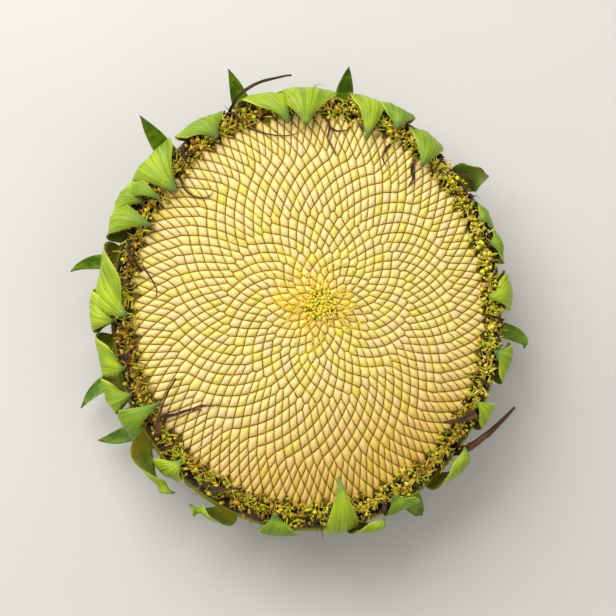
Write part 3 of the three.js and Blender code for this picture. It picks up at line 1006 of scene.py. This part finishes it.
class FloretSizes(bpy.types.PropertyGroup):
    """Sizes of the golden florets and of the crumbs."""

    buds: count_setting("Buds", "Unopened florets in the middle", 110)
    threads: count_setting("Threads", "Golden threads round the middle", 240)
    flecks: count_setting("Flecks", "Flecks of pollen over the seeds", 3000)
    crumbs: count_setting("Crumbs", "Crumbs of old florets round the rim", 2900)
    crumb: length_setting("Crumb", "Length of a crumb", 2.9 * MM)


class BractSizes(bpy.types.PropertyGroup):
    """How finely the bracts are made, their hairs, and the curls among the rays."""

    steps: count_setting("Steps", "Steps along a bract", 24)
    across: count_setting("Across", "Steps across a bract", 10)
    ripple: length_setting("Ripple", "How far a bract's margin ripples", 0.8 * MM)
    hair: length_setting("Hair", "Length of most hairs", 1.4 * MM)
    margin_hairs: number_setting("Margin hairs", "Hairs on each square millimetre of a margin", 0.9)
    skin_hairs: number_setting("Skin hairs", "Hairs on each square millimetre of the back", 0.12)
    curls: count_setting("Curls", "Thin dark curls among the rays", 130)


class StageSizes(bpy.types.PropertyGroup):
    """The camera and the floor."""

    distance: length_setting("Distance", "From the camera to the seeds", 0.9)
    elevation: angle_setting("Elevation", "The camera's angle above the floor", math.radians(82))
    azimuth: angle_setting("Azimuth", "The camera's turn round the head", math.radians(-40))
    width: length_setting("Width", "Width of what the camera sees", 0.308)
    floor: length_setting("Floor", "Side of the floor", 3.0)


def ready(piece, slot, *nodes):
    """Hands a finished piece to the frame: it moves with the head and stands for these nodes."""
    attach(piece, "root")
    if nodes:
        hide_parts(*nodes)


def join(piece, *others):
    """Joins other objects into a piece, with their materials."""
    together = [piece, *others]
    with bpy.context.temp_override(
        active_object=piece, selected_editable_objects=together, selected_objects=together
    ):
        bpy.ops.object.join()


def on_margin(grow):
    return grow.maths("GREATER_THAN", grow.maths("ABSOLUTE", grow.named("across")), MARGIN)


def on_skin(grow):
    _, _, height = grow.position()
    return grow.maths("GREATER_THAN", height, HAIRY_FROM) * grow.maths("LESS_THAN", height, HAIRY_TO)


def add_hairs(piece, sizes, density, where):
    """Grows short hairs on the part of a piece that `where` selects."""
    grow = Growth("Hairs")
    density = grow.size("Hairs on a square millimetre", density)
    length = grow.size("Hair length", sizes.hair / MM)
    source = grow.add("GeometryNodeObjectInfo", Object=piece, settings={"transform_space": "ORIGINAL"})
    metres = grow.output(source, "Geometry")
    skin = grow.made("GeometryNodeTransform", metres, Scale=(1 / MM, 1 / MM, 1 / MM))
    spots = grow.add("GeometryNodeDistributePointsOnFaces", skin, where(grow), Density=density)
    outward = grow.parts(grow.output(spots, "Normal"))
    aim = grow.vector(*(part + grow.chance(-0.6, 0.6, i) for i, part in enumerate(outward, 1)))
    turn = grow.made("FunctionNodeAlignRotationToVector", Vector=aim, settings={"axis": "Z"})
    hair = grow.cone(sides=3, steps=1, top=0.015, foot=0.07, height=length)
    size = grow.vector(1.0, 1.0, grow.chance(0.4, 1.1, 4))
    strewn = grow.on_points(grow.output(spots), hair, turn, size)
    join(piece, grow.grown(piece.name + "_hairs", strewn, hair_finish()))


# The packing: a factor on the points, which gives the last seeds neighbours, the power of the share by
# which the rim squeezes the seeds, the rounds that undo that, how little a face of the hull's flat foot
# faces up, and the hole for the tuft
SPARE_POINTS = 1.12
RIM_POWER = 4.0
UNDOING_ROUNDS = 5
FOOT_FACES_UP = 0.05
TUFT_HOLE = 6.5

# A seed: the crease of its corners, each step up to its round top as a share of its depth and how much
# narrower it is there, how far it sits below the dome, and how much its top leans out at the rim
CORNER_CREASE = 0.45
SEED_STEPS = [(0.3, 1.0), (0.24, 0.93), (0.19, 0.84), (0.14, 0.72), (0.09, 0.55), (0.04, 0.32)]
SEED_SINK = 0.1
SEED_LEAN = 0.004

# The bed of chaff: steps along its radius, and how far it comes up between the seeds
CHAFF_STEPS = 24
CHAFF_RISE = 0.5


class SEEDHEAD_OT_seeds(bpy.types.Operator):
    """Packs the seeds in a golden spiral over a bed of chaff"""

    bl_idname = "seedhead.seeds"
    bl_label = "Seeds"
    bl_options = {"REGISTER", "UNDO"}

    def execute(self, context):
        scene = context.scene
        sizes = scene.seedhead_seeds
        grow = Growth("Seeds")
        count = grow.size("Count", sizes.count)
        squeeze = grow.size("Squeeze", sizes.squeeze)
        rim_squeeze = grow.size("Rim squeeze", sizes.rim_squeeze)
        gathering = grow.size("Gathering", sizes.gathering)
        sway = grow.size("Sway", sizes.sway)
        depth = grow.size("Depth", sizes.depth / MM)
        closeness = grow.size("Closeness", sizes.closeness)
        jog = grow.size("Jog", sizes.jog / MM)
        shortest = grow.size("Shortest edge", sizes.shortest)
        disc = grow.size("Disc radius", DISC - SEED_EDGE)

        # Points on a round dome, whose hull joins neighbours by triangles. The hull's flat foot goes
        share = grow.maths("SQRT", (grow.index() + 0.5) / count)
        squeezed = share**squeeze * grow.maths("EXPONENT", share**RIM_POWER * rim_squeeze * (-1 / RIM_POWER))
        angle = grow.index() * GOLDEN_TURN
        x = squeezed * grow.maths("COSINE", angle) + grow.chance(-1.0, 1.0, 21) * sway
        y = squeezed * grow.maths("SINE", angle) + grow.chance(-1.0, 1.0, 22) * sway
        dome = grow.vector(x, y, (x * x + y * y) * -1.0)
        points = grow.made("GeometryNodePoints", count * SPARE_POINTS, dome)
        hull = grow.made("GeometryNodeConvexHull", points)
        _, _, up = grow.parts(grow.made("GeometryNodeInputNormal"))
        top = grow.without(hull, grow.maths("LESS_THAN", up, FOOT_FACES_UP))

        # The cells of the points, with their corners where three points are equally near
        top = grow.stored(top, "middle", self.circle_centre(grow), "FACE", "FLOAT_VECTOR")
        cells = grow.made("GeometryNodeDualMesh", top)
        cells = grow.moved(cells, grow.named("middle", "FLOAT_VECTOR"))
        cells = grow.made("GeometryNodeMergeByDistance", cells, Distance=shortest)

        # Back from the squeezed disc to the real one, flat
        px, py, _ = grow.position()
        reach = grow.reach(px, py)
        rim = math.exp(-sizes.rim_squeeze / RIM_POWER)
        cells = grow.without(cells, grow.maths("GREATER_THAN", reach, rim))
        real_share = reach
        for _ in range(UNDOING_ROUNDS):
            undone = grow.maths("EXPONENT", real_share**RIM_POWER * rim_squeeze * (1 / RIM_POWER))
            real_share = (reach * undone) ** (1 / squeeze)
        x, y = grow.oval(px / reach, py / reach, real_share**gathering * disc)
        shift = grow.maths("MAXIMUM", 1 - real_share * real_share, 0.0)
        cells = grow.moved(cells, grow.vector(x + shift * OFF_CENTRE[0], y + shift * OFF_CENTRE[1], 0.0))
        px, py, _ = grow.position()
        from_tuft = grow.reach(px - OFF_CENTRE[0], py - OFF_CENTRE[1])
        cells = grow.without(cells, grow.maths("LESS_THAN", from_tuft, TUFT_HOLE))

        # Each cell a plump seed of its own
        cells = grow.stored(cells, "tint", grow.chance(0.0, 1.0, 3), "FACE")
        cells = grow.stored(cells, "jog", grow.chance(-1.0, 1.0, 8), "FACE")
        apart = grow.made("GeometryNodeSplitEdges", cells)
        named = {"Level": 1, "Vertex Crease": CORNER_CREASE, "settings": {"boundary_smooth": "ALL"}}
        rounded = grow.made("GeometryNodeSubdivisionSurface", apart, **named)
        foot = grow.made("GeometryNodeScaleElements", rounded, True, closeness)
        body = foot
        face = True
        for rise, narrowing in SEED_STEPS:
            lift = grow.vector(0.0, 0.0, depth * rise)
            step = grow.add("GeometryNodeExtrudeMesh", body, face, lift, Individual=False)
            face = grow.output(step, "Top")
            body = grow.made("GeometryNodeScaleElements", grow.output(step), face, narrowing)
        under = grow.made("GeometryNodeFlipFaces", foot)
        closed = grow.made("GeometryNodeMergeByDistance", grow.joined(body, under))

        # Up onto the dome of the head
        px, py, pz = grow.position()
        # Each point's share of the seed's depth, by which the seed coat paints shade low on a seed's sides
        closed = grow.stored(closed, "rise", pz / depth, "POINT")
        flat_share = grow.maths("SQRT", (px / HALF_WIDTH) ** 2.0 + (py / HALF_LENGTH) ** 2.0)
        height = grow.seed_top(flat_share) - depth - SEED_SINK + pz + grow.named("jog") * jog
        lean = 1 + flat_share * (pz / depth) * SEED_LEAN
        risen = grow.moved(closed, grow.vector(px * lean, py * lean, height))
        piece = grow.grown("seed_spiral", risen, seed_finish(scene.seedhead_colours))

        bed = Shape()
        profile = [(0, FRONT_MIDDLE + GAP), (DISC - 2 * GAP, FRONT_RIM + GAP)]
        for i in range(CHAFF_STEPS + 1):
            share = 1 - i / CHAFF_STEPS
            profile.append(((DISC - 3 * GAP) * share, seed_top(share) - sizes.depth / MM + CHAFF_RISE))
        add_lathe(bed, profile, around=96)
        join(piece, bed.piece("chaff", bed_finish()))
        ready(piece, "seeds", "seeds")
        return {"FINISHED"}

    @staticmethod
    def circle_centre(grow):
        """The centre of the circle through the corners of each triangle, in the plane."""
        corners = []
        settings = {"data_type": "FLOAT_VECTOR", "domain": "POINT"}
        for i in range(3):
            corner = grow.made("GeometryNodeCornersOfFace", Face_Index=grow.index(), Sort_Index=i)
            vertex = grow.made("GeometryNodeVertexOfCorner", corner)
            spot = grow.made("GeometryNodeInputPosition")
            at = grow.made("GeometryNodeFieldAtIndex", Index=vertex, Value=spot, settings=settings)
            corners.append(grow.parts(at))
        (ax, ay, _), (bx, by, _), (cx, cy, _) = corners
        bx, by, cx, cy = bx - ax, by - ay, cx - ax, cy - ay
        twice = (bx * cy - by * cx) * 2.0
        b_squared = bx * bx + by * by
        c_squared = cx * cx + cy * cy
        x = (cy * b_squared - by * c_squared) / twice
        y = (bx * c_squared - cx * b_squared) / twice
        return grow.vector(ax + x, ay + y, 0.0)


# The tuft of buds in the middle of the spiral: its radius, and how far below the dome's top it stands
TUFT_RADIUS = 8.4
TUFT_DEPTH = 2.2

# The threads round it: the nearest, how far out they reach from there, and the power that thins them out
THREADS_FROM = 2.0
THREADS_OVER = 21.0
THREADS_THINNING = 1.4


class SEEDHEAD_OT_centre(bpy.types.Operator):
    """Grows the golden buds and threads in the middle of the seeds"""

    bl_idname = "seedhead.centre"
    bl_label = "Centre florets"
    bl_options = {"REGISTER", "UNDO"}

    def execute(self, context):
        scene = context.scene
        sizes = scene.seedhead_florets
        grow = Growth("Centre florets")
        buds = grow.size("Buds", sizes.buds)
        threads = grow.size("Threads", sizes.threads)

        share = grow.maths("SQRT", (grow.index() + 0.5) / buds)
        at = grow.off_centre(grow.index() * GOLDEN_TURN, share * TUFT_RADIUS, seed_top(0) - TUFT_DEPTH)
        bud = grow.cone(sides=6, steps=3, top=0.62, foot=0.5, height=3.4)
        tilt = grow.chances(1, (-0.35, 0.35), (-0.35, 0.35), (0.0, 6.3))
        stretch = grow.vector(1.0, 1.0, grow.chance(0.75, 1.0, 4))
        bunch = grow.strewn(buds, at, bud, tilt, stretch)

        # Threads that lie over the seeds round the tuft, fewer further out
        out = grow.chance(0.0, 1.0, 5) ** THREADS_THINNING * THREADS_OVER + THREADS_FROM
        turn = grow.round_turn(6)
        at = grow.off_centre(turn, out, seed_top(0) + 0.1 - out * 0.012)
        thread = grow.thread((-1.9, 0.0, -0.5), (0.0, 0.5, 0.7), (1.9, 0.0, 0.0), sides=4, radius=0.2)
        heading = turn + grow.chance(-0.9, 0.9, 9)
        tilt = grow.vector(grow.chance(-0.5, 0.5, 7), grow.chance(-0.2, 0.2, 8), heading)
        strewn = grow.strewn(threads, at, thread, tilt, grow.chance(0.55, 1.15, 10))
        both = grow.stored(grow.joined(bunch, strewn), "tint", grow.chance(0.0, 1.0, 11), "INSTANCE")
        piece = grow.grown("centre_tuft", both, floret_finish(scene.seedhead_colours))
        ready(piece, "centre_florets", "centre_florets")
        return {"FINISHED"}


# The flecks: how far inside the seeds' rim they end, and the power that thins them out towards it
FLECKS_INSIDE = 4
FLECKS_THINNING = 0.75


class SEEDHEAD_OT_flecks(bpy.types.Operator):
    """Scatters flecks of pollen over the seeds, fewer towards the rim"""

    bl_idname = "seedhead.flecks"
    bl_label = "Pollen flecks"
    bl_options = {"REGISTER", "UNDO"}

    def execute(self, context):
        scene = context.scene
        grow = Growth("Pollen flecks")
        flecks = grow.size("Flecks", scene.seedhead_florets.flecks)
        share = grow.chance(0.0, 1.0, 1) ** FLECKS_THINNING
        x, y = grow.at_turn(grow.round_turn(2), share * (DISC - FLECKS_INSIDE))
        at = grow.vector(x, y, grow.seed_top(share) - grow.chance(0.3, 1.3, 3))
        fleck = grow.made("GeometryNodeMeshIcoSphere", Radius=0.42, Subdivisions=1)
        tilt = grow.chances(4, (0.0, 6.3), (0.0, 6.3), (0.0, 6.3))
        size = grow.chances(7, (0.6, 2.2), (0.25, 0.6), (0.25, 0.6))
        strewn = grow.strewn(flecks, at, fleck, tilt, size)
        strewn = grow.stored(strewn, "tint", grow.chance(0.35, 1.0, 10), "INSTANCE")
        piece = grow.grown("pollen_flecks", strewn, floret_finish(scene.seedhead_colours))
        ready(piece, "centre_florets")
        return {"FINISHED"}


# The heap of crumbs: how far its middle lies outside the seeds, how far below the florets' top it stands,
# how fast it falls away to both sides, and how deep crumbs sink between seeds and fall beyond them
HEAP_MIDDLE = 2.0
HEAP_DEPTH = 2.6
HEAP_FALL = 0.09
CRUMB_SINK = 0.6
CRUMB_FALL = 9.0


class SEEDHEAD_OT_remains(bpy.types.Operator):
    """Heaps the crumbs of old florets round the rim"""

    bl_idname = "seedhead.remains"
    bl_label = "Floret remains"
    bl_options = {"REGISTER", "UNDO"}

    def execute(self, context):
        sizes = context.scene.seedhead_florets
        grow = Growth("Floret crumbs")
        crumbs = grow.size("Crumbs", sizes.crumbs)
        length = grow.size("Crumb", sizes.crumb / MM)
        turn = grow.round_turn(1)
        out = grow.chance(-2.5, 5.5, 2) + grow.chance(-2.4, 3.4, 3)
        x, y = grow.at_turn(turn, out + DISC)
        heaped = FLORET_TOP - HEAP_DEPTH - (out - HEAP_MIDDLE) * (out - HEAP_MIDDLE) * HEAP_FALL
        beyond = grow.maths("MAXIMUM", out, 0.0)
        on_seeds = grow.seed_top(out / DISC + 1.0) - CRUMB_SINK - beyond * CRUMB_FALL
        at = grow.vector(x, y, grow.maths("MAXIMUM", heaped, on_seeds) + grow.chance(-1.2, 1.4, 4))

        # Cups, slivers, scraps, and twice as many fibres
        cup = grow.cone(sides=5, steps=2, top=1.0, foot=0.4, height=length * 0.8)
        sliver = grow.cone(sides=4, steps=3, top=0.12, foot=0.5, height=length * 1.4)
        scrap = grow.cone(sides=4, steps=2, top=0.35, foot=0.95, height=length * 0.35)
        fibre = grow.thread((-1.7, 0.0, 0.0), (0.0, 1.1, 1.4), (1.7, 0.0, 0.0), sides=3, radius=0.26)
        shapes = (cup, sliver, scrap, fibre, fibre)
        kinds = grow.joined(*(grow.made("GeometryNodeGeometryToInstance", shape) for shape in shapes))
        tilt = grow.chances(5, (-1.3, 1.3), (-1.3, 1.3), (0.0, 6.3))
        size = grow.chances(8, (0.6, 1.5), (0.6, 1.5), (0.6, 1.5))
        strewn = grow.strewn(crumbs, at, kinds, tilt, size, one_of=True)

        # Patches of like colour, a little brighter towards +X and +Y
        patch = grow.eased(grow.made("ShaderNodeTexNoise", Scale=0.06, Detail=2.0), 0.35, 0.6, 0.35, 0.75)
        tint = grow.chance(-0.35, 0.35, 11) + patch + (x * 0.0016 + y * 0.0008)
        strewn = grow.stored(strewn, "tint", tint, "INSTANCE")
        piece = grow.grown("floret_crumbs", strewn, crumb_finish())

        mound = Shape()
        section = finer(outside_seeds(FLORET_CREST), 4)

        def rough(turn, radius, height, step):
            """The crest is roughest, and a little higher."""
            crest = 1 - abs(step / (len(section) - 1) * 2 - 1)
            wander = lumps(round_place(turn, radius, step), (1, 0.35), (0.6, 0.9))
            return radius + 0.5 * wander, height + crest * (2.2 * wander + 0.4)

        add_lathe(mound, section[::-1], around=260, moved=rough, closed=True)
        join(piece, mound.piece("mound", mound_finish()))
        ready(piece, "floret_remains", "floret_remains")
        return {"FINISHED"}


def add_collar(shape, first, last, thickness):
    """A thin band on the receptacle's outside where a whorl's roots run together."""
    wall = OUTSIDE[first : last + 1]

    def offset(distance):
        made = []
        for i, (radius, height) in enumerate(wall):
            r0, z0 = wall[max(i - 1, 0)]
            r1, z1 = wall[min(i + 1, len(wall) - 1)]
            length = math.hypot(r1 - r0, z1 - z0)
            made.append((radius + distance * (z1 - z0) / length, height - distance * (r1 - r0) / length))
        return made

    ring = offset(GAP) + offset(thickness)[::-1]
    add_lathe(shape, ring[::-1], around=180, closed=True)


def add_bract(shape, spine, width, cup, sizes, dice):
    """Adds a bract with a rippled margin and buckled faces, in the way that dice fall."""
    phase = dice.uniform(0, 6.3)
    waves = dice.uniform(9, 15)
    swing = dice.uniform(0.5, 1.1) * sizes.ripple / MM
    lot = dice.random()

    def crinkle(place_across, share, half):
        margin = abs(place_across) ** 2.5
        turned = phase if place_across > 0 else phase + 2.1
        wave = math.sin(waves * share + turned) * margin * swing * min(1, half / 5)
        buckle = lumps(Vector((place_across * half, share * 22, lot * 40)), (1.3, 0.14), (0.4, 0.5))
        return wave + buckle * smooth_step(share, 0.1, 0.4)

    frames = blade_frames(spine, width, bract_width, sizes.steps)
    add_blade(shape, frames, sizes.across, cup, bract_section, crinkle, lot)


def grow_whorl(name, spines, cup, collar, sizes, seed, finish):
    """A hairy whorl of bracts, one for each spine and width, on its collar."""
    shape = Shape()
    dice = random.Random(seed)
    for spine, width in spines:
        add_bract(shape, spine, width, cup, sizes, dice)
    add_collar(shape, *collar)
    piece = shape.piece(name, finish)
    add_hairs(piece, sizes, sizes.margin_hairs, on_margin)
    return piece


class SEEDHEAD_OT_inner_bracts(bpy.types.Operator):
    """Grows the whorl of bracts that curls up and over the rim"""

    bl_idname = "seedhead.inner_bracts"
    bl_label = "Inner bracts"
    bl_options = {"REGISTER", "UNDO"}

    def execute(self, context):
        colours = context.scene.seedhead_colours
        sizes = context.scene.seedhead_bracts
        # BROWN here is the painted shade on the cupped inside faces of the inner bracts
        finish = bract_finish("inner_bract", colours.young_bract, colours.bract, GREY_GREEN, BROWN)
        spines = [(inner_spine(*course), width * INNER_SWELL) for *course, width in INNER_BRACTS]
        piece = grow_whorl("inner_whorl", spines, INNER_CUP, INNER_COLLAR, sizes, 51, finish)
        ready(piece, "bracts", "inner_bracts")
        return {"FINISHED"}


class SEEDHEAD_OT_outer_bracts(bpy.types.Operator):
    """Grows the whorl of bracts that roots lower and stands away from the head"""

    bl_idname = "seedhead.outer_bracts"
    bl_label = "Outer bracts"
    bl_options = {"REGISTER", "UNDO"}

    def execute(self, context):
        colours = context.scene.seedhead_colours
        sizes = context.scene.seedhead_bracts
        finish = bract_finish("outer_bract", colours.bract, colours.bract, BROWN, colours.bract)
        spines = [(outer_spine(*course), width) for *course, width in OUTER_BRACTS + self.back_bracts()]
        piece = grow_whorl("outer_whorl", spines, OUTER_CUP, OUTER_COLLAR, sizes, 52, finish)
        ready(piece, "bracts", "outer_bracts")
        return {"FINISHED"}

    @staticmethod
    def back_bracts():
        """The bracts that the inner whorl hides, evenly round the back but for a little chance."""
        chance = Dice(BRACT_DICE)
        bracts = []
        for i in range(BACK_BRACTS):
            root = (i + 0.5) * 360 / BACK_BRACTS + chance.throw(-5, 5)
            tip = root + chance.throw(-4, 4)
            rest = [chance.throw(*span) for span in ((5, 10), (6, 9), (22, 27), (17, 22))]
            bracts.append((root, tip, *rest))
        return bracts


# How finely the rays are made: steps along and across one, and fewer for the trial of its course
RAY_STEPS = 20
RAY_ACROSS = 4
TRIAL_STEPS = 5
TRIAL_ACROSS = 2


class SEEDHEAD_OT_rays(bpy.types.Operator):
    """Curls the withered rays over the rim and the seeds"""

    bl_idname = "seedhead.rays"
    bl_label = "Withered rays"
    bl_options = {"REGISTER", "UNDO"}

    def execute(self, context):
        scene = context.scene
        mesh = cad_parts["inner_bracts"].data
        points = [vertex.co / MM for vertex in mesh.vertices]
        bracts = BVHTree.FromPolygons(points, [tuple(face.vertices) for face in mesh.polygons])
        shape = Shape()
        dice = random.Random(53)
        for ray, wave, twist in self.rays():
            spine = self.clear_spine(ray, wave, twist, bracts)
            if spine:
                lot = dice.random()
                frames = blade_frames(spine, ray[-1], ray_width, RAY_STEPS, wave, twist)
                add_blade(shape, frames, RAY_ACROSS, RAY_CUP, ray_section, self.crinkle_of(lot), lot)
        for _ in range(scene.seedhead_bracts.curls):
            add_curl(shape, dice)
        for thickness, spots in THREADS:
            path = []
            for x, y in smoothed(spots, 4):
                share = math.hypot(x / HALF_WIDTH, y / HALF_LENGTH)
                wander = 0.3 * noise.noise(Vector((x, y, 0)))
                path.append(Vector((x, y, seed_top(share) + thickness + wander)))
            add_tube(shape, path, thickness, 6, dice.random())

        def rough(turn, radius, height, step):
            """The top of the band is rough, and its sides a little."""
            wander = lumps(round_place(turn, radius, step), (1, 0.4))
            return radius + 0.4 * wander, height + (1.4 * wander if 2 < step < 10 else 0)

        add_lathe(shape, finer(outside_seeds(RAY_BAND), 4)[::-1], around=200, moved=rough, closed=True)
        piece = shape.piece("ray_curls", ray_finish(scene.seedhead_colours))
        ready(piece, "withered_rays", "withered_rays")
        return {"FINISHED"}

    @staticmethod
    def rays():
        """Each ray with its wave and twist: the long ones, then a short one in each gap between bracts."""
        chance = Dice(RAY_DICE)
        roots = sorted(bract[0] for bract in INNER_BRACTS)
        rays = list(LONG_RAYS)
        for root, after in zip(roots, roots[1:] + [roots[0] + 360]):
            middle = (root + after) / 2
            tip = middle + chance.throw(-3, 3)
            rest = [chance.throw(*span) for span in ((-4, 7), (2, 8), (48, 52), (2.4, 4.2))]
            rays.append((middle, tip, *rest))
        for ray in rays:
            yield ray, chance.throw(0.2, 0.6), chance.throw(-1.2, 1.2)

    @staticmethod
    def crinkle_of(lot):
        """How far chance moves each point of a ray, for its lot."""

        def crinkle(place_across, share, half):
            return lumps(Vector((place_across * half, share * 26, lot * 50)), (0.7, 0.5), (0.25, 1.7))

        return crinkle

    @staticmethod
    def clear_spine(ray, wave, twist, bracts):
        """The ray's spine, lifted until it lies over the bracts that it would run into, or nothing."""
        thick = (RAY_THICKNESS + 2 * GAP) / 2

        def padded(place_across, share, half):
            return thick, -thick * (1 - abs(place_across))

        for i in range(RAY_LIFTS):
            spine = ray_spine(*ray, i * RAY_LIFT_STEP)
            trial = Shape()
            frames = blade_frames(spine, ray[-1] + 2 * GAP, ray_width, TRIAL_STEPS, wave, twist)
            add_blade(trial, frames, TRIAL_ACROSS, RAY_CUP, padded, lambda *at: 0, 0)
            if not BVHTree.FromPolygons(trial.points, trial.faces).overlap(bracts):
                return spine


def add_curl(shape, dice):
    """Adds a thin dark thread that wanders in and out over the band of remains."""
    turn = dice.uniform(0, 360)
    out = dice.uniform(0.5, 7.5)
    height = dice.uniform(47, 49) - 0.3 * out
    heading = dice.uniform(0, 2 * math.pi)
    bend = dice.uniform(-0.5, 0.5)
    climb = dice.uniform(0.1, 0.6)
    thickness = dice.uniform(0.18, 0.42)
    path = [place(turn, DISC + out, height)]
    for _ in range(dice.randint(7, 12)):
        step = Vector((math.cos(heading), math.sin(heading), climb)) * dice.uniform(0.9, 1.3)
        path.append(path[-1] + step)
        heading += bend + dice.uniform(-0.35, 0.35)
        climb -= dice.uniform(0.0, 0.22)
    add_tube(shape, path, thickness, 5, dice.random())


# The receptacle: radii on the stem's cut face, steps over its front, and its ribs, as their number, the
# radius where they stand highest and how far from there they fade
CUT_RADII = (4, 9, 13.4)
FRONT_STEPS = 6
RIBS = (34, 40, 30)


class SEEDHEAD_OT_receptacle(bpy.types.Operator):
    """Turns the fleshy receptacle with the stump of its stem"""

    bl_idname = "seedhead.receptacle"
    bl_label = "Receptacle"
    bl_options = {"REGISTER", "UNDO"}

    def execute(self, context):
        scene = context.scene
        shape = Shape()
        profile = [(0, 0)] + [(radius, 0) for radius in CUT_RADII] + finer(OUTSIDE + LIP, 4)
        for i in range(1, FRONT_STEPS):
            height = FRONT_RIM + (FRONT_MIDDLE - FRONT_RIM) * i / FRONT_STEPS
            profile.append((DISC * (1 - i / FRONT_STEPS), height))
        profile.append((0, FRONT_MIDDLE))

        def ribbed(turn, radius, height, step):
            """The back is ribbed and lumpy, and the cut face, the lip and the front are plain."""
            if height < 0.01 or height > FRONT_RIM - 1:
                return radius, height
            count, highest, spread = RIBS
            ribs = math.sin(math.radians(turn) * count) * math.exp(-(((radius - highest) / spread) ** 2))
            lump = lumps(place(turn, radius, height), (1, 0.06), (0.5, 0.2))
            fade = smooth_step(height, 0, 5)
            return radius + 0.35 * lump * fade, height + fade * (0.35 * ribs + 0.5 * lump)

        add_lathe(shape, profile[::-1], around=168, moved=ribbed)
        piece = shape.piece("receptacle_flesh", receptacle_finish(scene.seedhead_colours), pith_finish())
        for face in piece.data.polygons:
            on_cut = face.center.z < 0.05 * MM
            face.material_index = int(on_cut)
        sizes = scene.seedhead_bracts
        add_hairs(piece, sizes, sizes.skin_hairs, on_skin)
        ready(piece, "receptacle", "receptacle")
        return {"FINISHED"}


class SEEDHEAD_OT_stage(bpy.types.Operator):
    """Sets up the floor, the light and the camera"""

    bl_idname = "seedhead.stage"
    bl_label = "Stage"
    bl_options = {"REGISTER", "UNDO"}

    def execute(self, context):
        scene = context.scene
        sizes = scene.seedhead_stage
        half = sizes.floor / 2 / MM
        floor = Shape()
        corners = [Vector((x * half, y * half, -GAP)) for x, y in ((-1, -1), (1, -1), (1, 1), (-1, 1))]
        floor.add(corners, [(0, 1, 2, 3)])
        floor.piece("floor", stone_finish(scene.seedhead_colours))

        flat = math.cos(sizes.elevation)
        x = math.sin(sizes.azimuth) * flat
        y = -math.cos(sizes.azimuth) * flat
        away = Vector((x, y, math.sin(sizes.elevation)))
        camera = linked("camera", bpy.data.cameras.new("camera"))
        up = (Vector((0, 1, 0)) - away * away.y).normalized()
        turned = Matrix((up.cross(away), up, away)).transposed().to_4x4()
        target = Vector(LOOKED_AT) * MM
        camera.matrix_world = Matrix.Translation(target + away * sizes.distance) @ turned
        camera.data.lens = camera.data.sensor_width * sizes.distance / sizes.width
        scene.camera = camera

        for name, (spot, side, power) in LAMPS.items():
            lamp = bpy.data.lights.new(name, "AREA")
            lamp.size = side
            lamp.energy = power
            light = linked(name, lamp)
            light.location = spot
            light.rotation_euler = (-Vector(spot)).to_track_quat("-Z", "Y").to_euler()
        world = bpy.data.worlds.new("studio")
        world.use_nodes = True
        background = world.node_tree.nodes["Background"]
        background.inputs["Color"].default_value = SKY
        background.inputs["Strength"].default_value = SKY_STRENGTH
        scene.world = world
        scene.view_settings.view_transform = "Standard"
        return {"FINISHED"}


OPERATORS = [
    SEEDHEAD_OT_seeds,
    SEEDHEAD_OT_centre,
    SEEDHEAD_OT_flecks,
    SEEDHEAD_OT_remains,
    SEEDHEAD_OT_inner_bracts,
    SEEDHEAD_OT_outer_bracts,
    SEEDHEAD_OT_rays,
    SEEDHEAD_OT_receptacle,
    SEEDHEAD_OT_stage,
]
SETTINGS = {
    "seedhead_colours": HeadColours,
    "seedhead_seeds": SeedSizes,
    "seedhead_florets": FloretSizes,
    "seedhead_bracts": BractSizes,
    "seedhead_stage": StageSizes,
}


class SEEDHEAD_PT_pieces(bpy.types.Panel):
    """Lists the pieces of the head and their sizes"""

    bl_label = "Sunflower seed head"
    bl_space_type = "VIEW_3D"
    bl_region_type = "UI"
    bl_category = "Seed head"

    def draw(self, context):
        for name in SETTINGS:
            group = getattr(context.scene, name)
            box = self.layout.box()
            for key in group.__annotations__:
                box.prop(group, key)
        for operator in OPERATORS:
            self.layout.operator(operator.bl_idname)


def register():
    for name, group in SETTINGS.items():
        bpy.utils.register_class(group)
        setattr(bpy.types.Scene, name, PointerProperty(type=group))
    for operator in OPERATORS:
        bpy.utils.register_class(operator)
    bpy.utils.register_class(SEEDHEAD_PT_pieces)


def unregister():
    bpy.utils.unregister_class(SEEDHEAD_PT_pieces)
    for operator in reversed(OPERATORS):
        bpy.utils.unregister_class(operator)
    for name, group in SETTINGS.items():
        delattr(bpy.types.Scene, name)
        bpy.utils.unregister_class(group)


def main():
    register()
    bpy.ops.seedhead.seeds()
    bpy.ops.seedhead.centre()
    bpy.ops.seedhead.flecks()
    bpy.ops.seedhead.remains()
    bpy.ops.seedhead.inner_bracts()
    bpy.ops.seedhead.outer_bracts()
    bpy.ops.seedhead.rays()
    bpy.ops.seedhead.receptacle()
    bpy.ops.seedhead.stage()
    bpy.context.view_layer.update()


if __name__ == "__main__":
    main()
